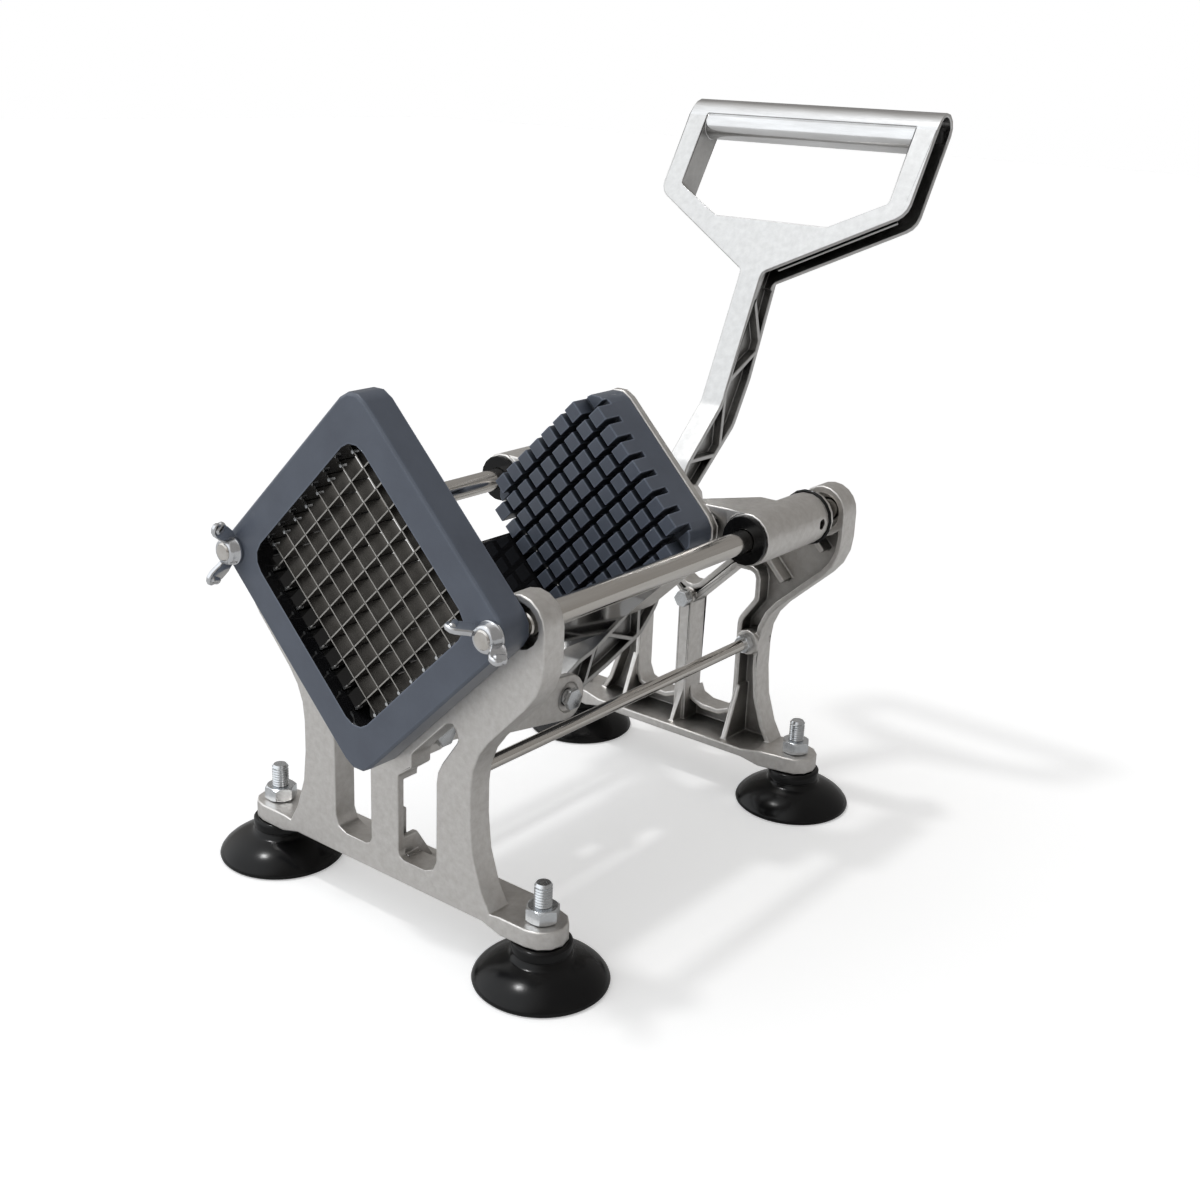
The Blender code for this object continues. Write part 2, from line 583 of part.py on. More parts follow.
def frame(name, leg_half, foot_half, arms, window, gussets, recess_outside, channel=None):
    """Cast frame modelled at the front: a web with a rim to the rear, windows, bosses, base and foot tabs.

    The arms are two distances from the box's centre; the gussets are a height and places along the base.
    """
    face = FRONT_FACE
    inner = face + FRAME_DEPTH
    outline = frame_outline(leg_half, arms[0])
    window = anticlockwise(window)
    windows = [window, flipped(window)]
    body = prism(name, outline, "Y", face, inner)

    pocket = prism("pocket", offset(outline, -FRAME_RIM), "Y", face + FRAME_WEB, inner + CUT_OVERRUN)
    window_rims = prisms("window_rims", [offset(w, FRAME_RIM) for w in windows], "Y",
                         face, inner + CUT_OVERRUN * 2)
    bosses = prisms("bosses", [circle((side * ROD_X, ROD_HEIGHT), BOSS_RADIUS) for side in (1, -1)], "Y",
                    face, inner + CUT_OVERRUN * 2)
    ribs = []
    for share in PANEL_RIB_SHARES:
        x = ROD_X * share
        height = arm_line(sum(arms) / 2, x)
        ribs += [slanted_bar((side * x, height), -side * math.pi / 4, PANEL_LENGTH,
                             PANEL_RIB) for side in (1, -1)]
    panel = prisms("panel_ribs", ribs, "Y", face, inner + CUT_OVERRUN * 2)
    cut(pocket, window_rims, bosses, panel)
    cut(body, pocket)
    if channel:
        cut(body, channel)

    base = base_flange("base", foot_half, face)
    gusset_root = FRAME_BOTTOM + BASE_THICKNESS / 2
    gusset_height, gusset_places = gussets
    gusset_top = gusset_root + gusset_height
    gusset_side = [(face + FRAME_WEB / 2, gusset_root), (face + BASE_WIDTH - FRAME_RIM, gusset_root),
                   (face + FRAME_DEPTH, gusset_top), (face + FRAME_WEB / 2, gusset_top)]
    gussets = [prism("gusset", gusset_side, "X", x - GUSSET_THICKNESS / 2, x + GUSSET_THICKNESS / 2)
               for x in gusset_places]
    ties = prisms("tie_bosses", [circle((side * TIE_X, TIE_HEIGHT), TIE_BOSS_RADIUS, SMALL_SEGMENTS)
                                 for side in (1, -1)], "Y", face + FRAME_WEB / 2, face + TIE_BOSS_LENGTH)
    join(body, base)
    join(body, *gussets)
    join(body, ties)
    opening = prisms("windows", windows, "Y", face - CUT_OVERRUN, inner + CUT_OVERRUN)
    cut(body, opening)

    recess_start = face - CUT_OVERRUN if recess_outside else inner - BOSS_RECESS_DEPTH
    recess_end = face + BOSS_RECESS_DEPTH if recess_outside else inner + CUT_OVERRUN
    rod_holes = prisms("rod_holes", [circle((side * ROD_X, ROD_HEIGHT), ROD_RADIUS + ROD_SLIDE_GAP)
                                     for side in (1, -1)], "Y", face - CUT_OVERRUN, inner + CUT_OVERRUN)
    recesses = prisms("rod_recesses", [circle((side * ROD_X, ROD_HEIGHT), BOSS_RECESS_RADIUS)
                                       for side in (1, -1)],
                      "Y", recess_start, recess_end)
    tie_holes = prisms("tie_holes", [circle((side * TIE_X, TIE_HEIGHT), TIE_RADIUS + FIT, SMALL_SEGMENTS)
                                     for side in (1, -1)],
                       "Y", face + TIE_BOSS_LENGTH - TIE_FOOT_DEPTH, face + TIE_BOSS_LENGTH + CUT_OVERRUN)
    tab_y = face + FOOT_TAB_RADIUS
    stud_holes = prisms("stud_holes", [circle((side * foot_half, tab_y), STUD_RADIUS + STUD_CLEARANCE,
                                              SMALL_SEGMENTS)
                                       for side in (1, -1)],
                        "Z", FOOT_TAB_BOTTOM - CUT_OVERRUN, FOOT_TAB_TOP + CUT_OVERRUN)
    cut(body, rod_holes, recesses, tie_holes, stud_holes)
    return body


def slanted_bar(centre, angle, length, thickness):
    """Rectangle of a length and thickness turned about its centre."""
    along = Vector((math.cos(angle), math.sin(angle))) * (length / 2)
    across = Vector((-math.sin(angle), math.cos(angle))) * (thickness / 2)
    middle = Vector(centre)
    corners = [middle - along - across, middle + along - across, middle + along + across,
               middle - along + across]
    return [(corner.x, corner.y) for corner in corners]


def front_frame(mat):
    """Front frame with two lugs for the link behind its column head."""
    leg_middle = FRONT_LEG_HALF - LEG_WIDTH / 2
    column_side = COLUMN_HALF - GUSSET_THICKNESS / 2
    gussets = (GUSSET_HEIGHT, (-leg_middle, -column_side, column_side, leg_middle))
    body = frame("front_frame", FRONT_LEG_HALF, FRONT_FOOT_HALF, (ARM_INNER, ARM_OUTER),
                 window_outline(FRONT_LEG_HALF), gussets, True, column_channel())
    pivot = Vector(FRAME_PIVOT)
    web_y = FRONT_FACE + FRAME_WEB / 2
    lug_side = [(web_y, pivot.y - LUG_RADIUS)] + arc(pivot, LUG_RADIUS, -math.pi / 2, math.pi / 2,
                                                     ARC_STEPS * 2)
    lug_side.append((web_y, pivot.y + LUG_RADIUS))
    lugs = []
    holes = []
    for side in (1, -1):
        near = side * LUG_INNER
        far = side * (LUG_INNER + LUG_THICKNESS)
        lugs.append(prism("lug", lug_side, "X", near, far))
        holes.append(cylinder("lug_hole", "X", FRAME_PIVOT, PIN_RADIUS + PIN_GAP,
                              side * (LUG_INNER - FIT), far + side * CUT_OVERRUN, SMALL_SEGMENTS))
    join(body, *lugs)
    path = prism("tongue_path", [(-LUG_INNER, HEAD_HEIGHT - LEG_WIDTH), (LUG_INNER, HEAD_HEIGHT - LEG_WIDTH),
                                 (LUG_INNER, pivot.y + LUG_RADIUS + RUNNING_GAP * 2),
                                 (-LUG_INNER, pivot.y + LUG_RADIUS + RUNNING_GAP * 2)],
                 "Y", FRONT_FACE + FRAME_WEB, pivot.x + LUG_RADIUS + CUT_OVERRUN)
    cut(body, path)
    cut(body, *holes)
    return finish(body, mat)


def rear_frame(mat):
    """Rear frame, turned to face the front one, with a slim column that carries the stop screw."""
    leg_side = REAR_LEG_HALF - REAR_LEG_WIDTH + GUSSET_THICKNESS
    gussets = (REAR_GUSSET_HEIGHT, (-leg_side, 0, leg_side))
    body = frame("rear_frame", REAR_LEG_HALF, REAR_FOOT_HALF, (REAR_ARM_INNER, REAR_ARM_OUTER),
                 rear_window_outline(), gussets, False)
    column_face = FRONT_FACE + REAR_COLUMN_DEPTH
    behind = REAR_COLUMN_HALF + FIT
    behind_bottom = REAR_WINDOW_BOTTOM + REAR_WINDOW_RADIUS / 2
    behind_top = arm_line(REAR_ARM_OUTER, 0) - WINDOW_RADIUS
    back = prism("column_back", [(-behind, behind_bottom), (behind, behind_bottom), (behind, behind_top),
                                 (-behind,
                                  behind_top)], "Y", FRONT_FACE - CUT_OVERRUN, FRONT_FACE + FRAME_WEB)
    cut(body, back)
    half = REAR_COLUMN_HALF
    bottom = FRAME_BOTTOM + BASE_THICKNESS / 2
    top = STOP_SCREW_HEIGHT + STOP_HEAD_ACROSS_FLATS / 2
    bar = prism("column", [(-half, bottom), (half, bottom), (half, top), (-half, top)], "Y",
                FRONT_FACE + FRAME_WEB / 2, column_face)
    pad = cylinder("stop_pad", "Y", (0, STOP_SCREW_HEIGHT), STOP_HEAD_ACROSS_FLATS / 2 + FIT * 2,
                   FRONT_FACE + FRAME_WEB / 2, column_face - FIT, SMALL_SEGMENTS)
    join(body, bar, pad)
    hole = cylinder("stop_hole", "Y", (0, STOP_SCREW_HEIGHT), STOP_SCREW_RADIUS + FIT,
                    FRONT_FACE + FRAME_WEB / 2, column_face + CUT_OVERRUN, SMALL_SEGMENTS)
    cut(body, hole)
    turn = Matrix.Translation((0, REAR_FACE + FRONT_FACE, 0)) @ Matrix.Rotation(math.pi, 4, "Z")
    return finish(move(body, turn), mat)


# Rods and fasteners

def hexagon_nut(name, axis, centre, across_flats, hole_radius, start, end):
    """Hexagon nut with a bore and lightly chamfered corners."""
    radius = across_flats / math.sqrt(3.0)
    outline = circle(centre, radius, 6)
    nut = prism(name, outline, axis, start, end)
    hole = cylinder("nut_hole", axis, centre, hole_radius, min(start, end) - CUT_OVERRUN,
                    max(start, end) + CUT_OVERRUN,
                    SMALL_SEGMENTS)
    return cut(nut, hole)


def guide_rod(side, sign, mat):
    """Polished rod between the frames with a thinner threaded end through the box and another behind."""
    front_end = BOX_FRONT - ROD_FRONT_REACH
    shoulder = FRONT_FACE + FIT
    rear_shoulder = REAR_FACE - FIT
    rear_end = REAR_FACE + NUT_HEIGHT + ROD_NUT_REACH
    profile = ((0, front_end), (THREAD_RADIUS - ROD_CHAMFER, front_end),
               (THREAD_RADIUS, front_end + ROD_CHAMFER),
               (THREAD_RADIUS, shoulder), (ROD_RADIUS, shoulder), (ROD_RADIUS, rear_shoulder),
               (THREAD_RADIUS, rear_shoulder), (THREAD_RADIUS, rear_end - ROD_CHAMFER),
               (THREAD_RADIUS - ROD_CHAMFER, rear_end), (0, rear_end))
    rod = lathe("guide_rod_" + side, profile, "Y", (sign * ROD_X, ROD_HEIGHT))
    return finish(rod, mat)


def rod_nut(side, sign, mat):
    start = REAR_FACE + FIT
    nut = hexagon_nut("rod_nut_" + side, "Y", (sign * ROD_X, ROD_HEIGHT), NUT_ACROSS_FLATS,
                      THREAD_RADIUS + FIT,
                      start, start + NUT_HEIGHT)
    return finish(nut, mat)


def tie_rod(side, sign, mat):
    start = FRONT_FACE + TIE_BOSS_LENGTH - TIE_FOOT_DEPTH + FIT
    end = REAR_FACE - TIE_BOSS_LENGTH + TIE_FOOT_DEPTH - FIT
    rod = cylinder("tie_rod_" + side, "Y", (sign * TIE_X, TIE_HEIGHT), TIE_RADIUS, start, end, SMALL_SEGMENTS)
    return finish(rod, mat)


def tie_nut(side, sign, end, mat):
    at_front = end == "front"
    seat = FRONT_FACE + TIE_BOSS_LENGTH + FIT if at_front else REAR_FACE - TIE_BOSS_LENGTH - FIT
    reach = seat + TIE_NUT_HEIGHT if at_front else seat - TIE_NUT_HEIGHT
    name = "tie_nut_" + end + "_" + side
    nut = hexagon_nut(name, "Y", (sign * TIE_X, TIE_HEIGHT), TIE_NUT_ACROSS_FLATS, TIE_RADIUS + FIT,
                      min(seat, reach), max(seat, reach))
    return finish(nut, mat)


def wing_nut(side, sign, mat):
    """Wing nut on the guide rod's thread: a conical hub and two wings that spread to the front."""
    seat = BOX_FRONT - FIT
    top = seat - WING_NUT_HEIGHT
    profile = ((THREAD_RADIUS + FIT, seat), (WING_NUT_RADIUS, seat),
               (WING_NUT_RADIUS, seat - WING_NUT_HEIGHT / 3),
               (WING_NUT_RADIUS - ROD_CHAMFER * 2, top), (THREAD_RADIUS + FIT, top))
    nut = lathe("wing_nut_" + side, profile, "Y", (0, 0), ROUND_SEGMENTS)
    wing_root = THREAD_RADIUS + FIT + ROD_CHAMFER
    tip = WING_NUT_SPAN / 2
    wing_top = seat - WING_NUT_RISE
    root_middle = seat - WING_NUT_HEIGHT / 4
    outline = rounded([(wing_root, root_middle, 0), (WING_NUT_RADIUS, root_middle, 0),
                       (tip, seat - WING_NUT_RISE / 2, WING_NUT_RISE / 4), (tip, wing_top, WING_NUT_RISE / 4),
                       (tip - WING_NUT_RISE / 2, wing_top, WING_NUT_RISE / 4), (wing_root, top, 0)])
    half = WING_NUT_THICKNESS / 2
    wings = [prism("wing", [(a * way, b) for a, b in outline], "Z", -half, half) for way in (1, -1)]
    join(nut, *wings)
    move(nut, Matrix.Rotation(-WING_NUT_TURN[side], 4, "Y"))
    nut.location = (sign * ROD_X, 0, ROD_HEIGHT)
    return finish(nut, mat)


def foot(corner, x, y, rubber, zinc):
    """Suction cup with its collar, the stud moulded into it, and the nut above the foot tab."""
    outer = [(CUP_RADIUS * r, CUP_HEIGHT * z) for r, z in CUP_SHARES]
    low, middle, high = [CUP_HEIGHT * share for share in COLLAR_GROOVE_SHARES]
    collar = [(CUP_COLLAR_RADIUS, low), (CUP_COLLAR_RADIUS - COLLAR_GROOVE, middle),
              (CUP_COLLAR_RADIUS, high),
              (CUP_COLLAR_RADIUS, CUP_HEIGHT), (0, CUP_HEIGHT)]
    hollow = [(CUP_RADIUS * r, CUP_HEIGHT * z) for r, z in CUP_HOLLOW_SHARES]
    dome = CUP_HEIGHT * CUP_HOLLOW_SHARES[-1][1]
    profile = outer + collar + [(0, dome)] + hollow[::-1]
    cup = finish(lathe("suction_cup_" + corner, profile, "Z", (x, y)), rubber)
    stud_profile = ((0, CUP_HEIGHT + FIT), (STUD_RADIUS, CUP_HEIGHT + FIT),
                    (STUD_RADIUS, STUD_TOP - ROD_CHAMFER),
                    (STUD_RADIUS - ROD_CHAMFER, STUD_TOP), (0, STUD_TOP))
    stud = finish(lathe("foot_stud_" + corner, stud_profile, "Z", (x, y), SMALL_SEGMENTS), zinc)
    seat = FOOT_TAB_TOP + FIT
    nut = hexagon_nut("foot_nut_" + corner, "Z", (x, y), NUT_ACROSS_FLATS, STUD_RADIUS + FIT, seat,
                      seat + NUT_HEIGHT)
    finish(nut, zinc)
    return cup, stud, nut


def stop_screw(mat):
    """Small hexagon screw in the rear frame's column head."""
    seat = REAR_FACE - REAR_COLUMN_DEPTH
    head = prism("stop_screw", circle((0, STOP_SCREW_HEIGHT), STOP_HEAD_ACROSS_FLATS / math.sqrt(3.0), 6),
                 "Y",
                 seat - STOP_HEAD_HEIGHT, seat)
    shank = cylinder("stop_shank", "Y", (0, STOP_SCREW_HEIGHT), STOP_SCREW_RADIUS,
                     seat - STOP_HEAD_HEIGHT / 2,
                     seat + STOP_SHANK, SMALL_SEGMENTS)
    return finish(join(head, shank), mat)


# Blade box, blades and trough

def turned_about_box(obj):
    """Turn a piece drawn level about the box's centre onto its corner."""
    return move(obj, Matrix.Translation((0, 0, ROD_HEIGHT)) @ Matrix.Rotation(math.pi / 4, 4, "Y"))


def blade_places():
    half = OPENING_SIDE / 2
    return [-half + PITCH * i for i in range(1, CELLS)]


def blade_box(mat):
    """Square plastic frame on its corner, with grooves from behind for the blades' ends."""
    box = prism("blade_box", diamond(BOX_SIDE, BOX_CORNER_RADIUS), "Y", BOX_FRONT, BOX_REAR)
    bevel_cap(box, BOX_FRONT, BOX_EDGE)
    opening = prism("opening", diamond(OPENING_SIDE, OPENING_CORNER_RADIUS), "Y",
                    BOX_FRONT - CUT_OVERRUN, BOX_REAR + CUT_OVERRUN)
    holes = prisms("rod_holes", [circle((side * ROD_X, ROD_HEIGHT), THREAD_RADIUS + FIT, SMALL_SEGMENTS)
                                 for side in (1, -1)], "Y", BOX_FRONT - CUT_OVERRUN, BOX_REAR + CUT_OVERRUN)
    cut(box, opening, holes)
    reach = OPENING_SIDE / 2 + BLADE_GROOVE
    half = BLADE_THICKNESS / 2 + BLADE_LAP_GAP
    stop = BOX_REAR - FIT - BLADE_DEPTH - FIT
    for way in (0, 1):
        bars = []
        for place in blade_places():
            strip = [(-reach, place - half), (reach, place - half), (reach, place + half),
                     (-reach, place + half)]
            bars.append([(b, a) for a, b in strip] if way else strip)
        grooves = prisms("grooves", bars, "Y", stop, BOX_REAR + CUT_OVERRUN)
        cut(box, turned_about_box(grooves))
    return finish(box, mat)


def bevel_cap(obj, place, width):
    """Bevel the edges round the flat cap that lies across Y at a place."""
    bm = bmesh.new()
    bm.from_mesh(obj.data)
    cap = next(face for face in bm.faces if all(abs(vert.co.y - place) < FIT / 10 for vert in face.verts))
    bmesh.ops.bevel(bm, geom=list(cap.edges), offset=width, segments=1, affect="EDGES")
    bm.to_mesh(obj.data)
    bm.free()


def blade(name, place, upright, mat):
    """Thin strip across the opening, with half-lap slots where it crosses the other blades."""
    reach = OPENING_SIDE / 2 + BLADE_GROOVE - FIT
    rear = BOX_REAR - FIT
    front = rear - BLADE_DEPTH
    lap = BLADE_DEPTH / 2 + BLADE_LAP_GAP
    half_slot = BLADE_THICKNESS / 2 + BLADE_LAP_GAP
    edge = [(-reach, front), (reach, front), (reach, rear), (-reach, rear)]
    strip = prism(name, edge, "Z", -BLADE_THICKNESS / 2, BLADE_THICKNESS / 2)
    start = front - CUT_OVERRUN if upright else rear - lap
    end = front + lap if upright else rear + CUT_OVERRUN
    slots = prisms("slots", [[(p - half_slot, start), (p + half_slot, start), (p + half_slot, end),
                              (p - half_slot, end)]
                             for p in blade_places()], "Z", -CUT_OVERRUN, CUT_OVERRUN)
    cut(strip, slots)
    move(strip, Matrix.Translation((0, 0, place)))
    if upright:
        move(strip, Matrix.Rotation(math.pi / 2, 4, "Y"))
    return finish(turned_about_box(strip), mat)


def blades(mat):
    for i, place in enumerate(blade_places()):
        blade("blade_falling_" + str(i + 1), place, False, mat)
        blade("blade_rising_" + str(i + 1), place, True, mat)


def trough(mat):
    """V of two walls behind the box, open along the middle for the lever and bridged at the front."""
    top = ROD_HEIGHT - TROUGH_TOP_BELOW_RODS
    inner = TROUGH_OFFSET
    outer = TROUGH_OFFSET + TROUGH_WALL
    bottom_inner = arm_line(inner, 0)
    bottom_outer = arm_line(outer, 0)
    right = [(0, bottom_outer, TROUGH_CORNER_RADIUS + TROUGH_WALL), (top - bottom_outer, top, 0),
             (top - bottom_inner, top, 0), (0, bottom_inner, TROUGH_CORNER_RADIUS),
             (bottom_inner - top, top, 0), (bottom_outer - top, top, 0)]
    front = FRONT_FACE + TROUGH_SEAT_GAP
    walls = prism("potato_trough", rounded(right), "Y", front, front + TROUGH_REACH)
    slot = prism("slot", [(-TROUGH_SLOT_HALF, 0), (TROUGH_SLOT_HALF, 0), (TROUGH_SLOT_HALF, ROD_HEIGHT),
                          (-TROUGH_SLOT_HALF,
                           ROD_HEIGHT)], "Y", front + TROUGH_BRIDGE, front + TROUGH_REACH + CUT_OVERRUN)
    return finish(cut(walls, slot), mat)


# Carriage with pusher

def pusher_block(mat):
    """Rounded square block with crossed slots, which leave a finger for each cell of the blades."""
    block = prism("pusher_block", diamond(PUSHER_SIDE, PUSHER_CORNER_RADIUS), "Y", PUSHER_TIPS, PUSHER_REAR)
    floor = PUSHER_TIPS + FINGER_DEPTH
    reach = PUSHER_SIDE
    half = FINGER_SLOT / 2
    for way in (0, 1):
        bars = []
        for place in blade_places():
            strip = [(-reach, place - half), (reach, place - half), (reach, place + half),
                     (-reach, place + half)]
            bars.append([(b, a) for a, b in strip] if way else strip)
        cut(block, turned_about_box(prisms("finger_slots", bars, "Y", PUSHER_TIPS - CUT_OVERRUN, floor)))
    near = blade_places()[-1]
    far = PUSHER_SIDE
    corners = [[(sa * near, sb * near), (sa * far, sb * near), (sa * far, sb * far), (sa * near, sb * far)]
               for sa in (1, -1) for sb in (1, -1)]
    lows = prisms("corner_cuts", corners, "Y", PUSHER_TIPS - CUT_OVERRUN, floor - CORNER_BLOCK_HEIGHT)
    cut(block, turned_about_box(lows))
    notch = [(-LEVER_PATH_HALF, 0), (LEVER_PATH_HALF, 0), (LEVER_PATH_HALF, PUSHER_NOTCH_TOP),
             (-LEVER_PATH_HALF, PUSHER_NOTCH_TOP)]
    cut(block, prism("lever_notch", notch, "Y", PUSHER_REAR - PUSHER_NOTCH_DEPTH, PUSHER_REAR + CUT_OVERRUN))
    return finish(block, mat)


def carriage(mat):
    """Casting that carries the pusher: square plate, two wings, two sleeves and the lever's clevis."""
    rim_rear = PLATE_REAR + CARRIAGE_RIM_DEPTH
    body = prism("carriage", diamond(PLATE_SIDE, PLATE_CORNER_RADIUS), "Y", PLATE_FRONT, rim_rear)
    tray = prism("tray", diamond(PLATE_SIDE - CARRIAGE_RIM * 2, PLATE_CORNER_RADIUS - CARRIAGE_RIM), "Y",
                 PLATE_REAR, rim_rear + CUT_OVERRUN)
    rim_limit = ROD_HEIGHT + SLEEVE_RADIUS - CARRIAGE_RIM
    tray_top = prism("tray_top", [(-PLATE_SIDE, rim_limit), (PLATE_SIDE, rim_limit),
                                  (PLATE_SIDE, ROD_HEIGHT * 2),
                                  (-PLATE_SIDE, ROD_HEIGHT * 2)], "Y", PLATE_REAR, rim_rear + CUT_OVERRUN)
    cut(body, tray)
    cut(body, tray_top)

    sleeve_rear = SLEEVE_FRONT + SLEEVE_LENGTH
    wing_top = ROD_HEIGHT + SLEEVE_RADIUS - FIT
    wing_bottom = ROD_HEIGHT - WING_BOTTOM_BELOW_RODS
    plate_corner = PLATE_SIDE / ROOT_TWO
    oring_y = SLEEVE_FRONT + SLEEVE_LENGTH * ORING_SHARE
    groove_half = ORING_SECTION + FIT
    groove_radius = SLEEVE_RADIUS - ORING_GROOVE
    sleeve_profile = ((0, SLEEVE_FRONT), (SLEEVE_RADIUS, SLEEVE_FRONT),
                      (SLEEVE_RADIUS, oring_y - groove_half),
                      (groove_radius, oring_y - groove_half), (groove_radius, oring_y + groove_half),
                      (SLEEVE_RADIUS, oring_y + groove_half), (SLEEVE_RADIUS, sleeve_rear), (0, sleeve_rear))
    for sign in (1, -1):
        sleeve = lathe("sleeve", sleeve_profile, "Y", (sign * ROD_X, ROD_HEIGHT))
        wing_front = SLEEVE_FRONT + RUNNING_GAP
        plan = [(sign * WING_ROOT, PLATE_FRONT + PLATE_THICKNESS / 2), (sign * plate_corner, wing_front),
                (sign * ROD_X, wing_front), (sign * ROD_X, SLEEVE_FRONT + WING_REACH),
                (sign * plate_corner, SLEEVE_FRONT + WING_REACH), (sign * WING_ROOT,
                                                                   PLATE_REAR + WING_THICKNESS)]
        wing = prism("wing", plan, "Z", wing_bottom, wing_top)
        join(body, sleeve)
        join(body, wing)
        pocket_top = wing_top - WING_THICKNESS
        front_pocket = prism("front_pocket", [(SLEEVE_FRONT - CUT_OVERRUN, wing_bottom - CUT_OVERRUN),
                                              (SLEEVE_FRONT + WING_POCKET_DEPTH, wing_bottom - CUT_OVERRUN),
                                              (SLEEVE_FRONT + FIT, pocket_top),
                                              (SLEEVE_FRONT - CUT_OVERRUN, pocket_top)], "X",
                             sign * (WING_ROOT + WING_THICKNESS), sign * (ROD_X - SLEEVE_RADIUS))
        keep = prism("keep", diamond(PLATE_SIDE + FIT * 2, PLATE_CORNER_RADIUS + FIT), "Y",
                     PLATE_FRONT - CUT_OVERRUN,
                     PLATE_REAR + FIT)
        cut(front_pocket, keep)
        cut(body, front_pocket)

    pivot = Vector(LEVER_PIVOT)
    clevis_side = [(PLATE_FRONT + PLATE_THICKNESS / 2, pivot.y - CLEVIS_ROOT / 2)]
    clevis_side += arc(pivot, CLEVIS_RADIUS, -math.pi / 2, math.pi / 2, ARC_STEPS * 2)
    clevis_side.append((PLATE_FRONT + PLATE_THICKNESS / 2, pivot.y + CLEVIS_ROOT / 2))
    for sign in (1, -1):
        lug = prism("clevis", clevis_side, "X", sign * CLEVIS_INNER, sign * (CLEVIS_INNER + CLEVIS_THICKNESS))
        join(body, lug)
    outer_x = CLEVIS_INNER + CLEVIS_THICKNESS + CUT_OVERRUN
    pin_hole = cylinder("pin_hole", "X", LEVER_PIVOT, PIN_RADIUS + PIN_GAP, -outer_x, outer_x, SMALL_SEGMENTS)
    lever_path = prism("lever_path", [(-LEVER_PATH_HALF, 0), (LEVER_PATH_HALF, 0),
                                      (LEVER_PATH_HALF, LEVER_PATH_HEIGHT),
                                      (-LEVER_PATH_HALF, LEVER_PATH_HEIGHT)], "Y", PLATE_FRONT - CUT_OVERRUN,
                       rim_rear + CUT_OVERRUN)
    cut(body, pin_hole)
    cut(body, lever_path)
    for sign in (1, -1):
        centre = (sign * ROD_X, ROD_HEIGHT)
        bore = cylinder("bore", "Y", centre, ROD_RADIUS + ROD_SLIDE_GAP, SLEEVE_FRONT - CUT_OVERRUN,
                        sleeve_rear + CUT_OVERRUN)
        screw_y = SLEEVE_FRONT + SLEEVE_LENGTH * SETSCREW_SHARE
        setscrew = cylinder("setscrew_hole", "X", (screw_y, ROD_HEIGHT), SETSCREW_RADIUS,
                            sign * ROD_X, sign * (ROD_X + SLEEVE_RADIUS + CUT_OVERRUN), SMALL_SEGMENTS)
        cut(body, bore)
        cut(body, setscrew)
    return finish(pivot_at(body, (0, PLATE_FRONT, ROD_HEIGHT)), mat)


def sleeve_rings(side, sign, mat):
    """Black ring against the sleeve's front end, and the O-ring in its groove."""
    centre = (sign * ROD_X, ROD_HEIGHT)
    seat = SLEEVE_FRONT - FIT
    inner = ROD_RADIUS + ROD_SLIDE_GAP
    ring_profile = ((inner, seat - RING_THICKNESS), (RING_RADIUS, seat - RING_THICKNESS),
                    (RING_RADIUS, seat), (inner, seat))
    ring = lathe("sleeve_ring_" + side, ring_profile, "Y", centre)
    finish(ring, mat)
    oring_y = SLEEVE_FRONT + SLEEVE_LENGTH * ORING_SHARE
    middle = SLEEVE_RADIUS - ORING_GROOVE + FIT + ORING_SECTION
    section = [(middle + a, oring_y + b) for a, b in circle((0, 0), ORING_SECTION, ORING_FACETS)]
    finish(lathe("o_ring_" + side, section, "Y", centre), mat)


# Lever, link and pins

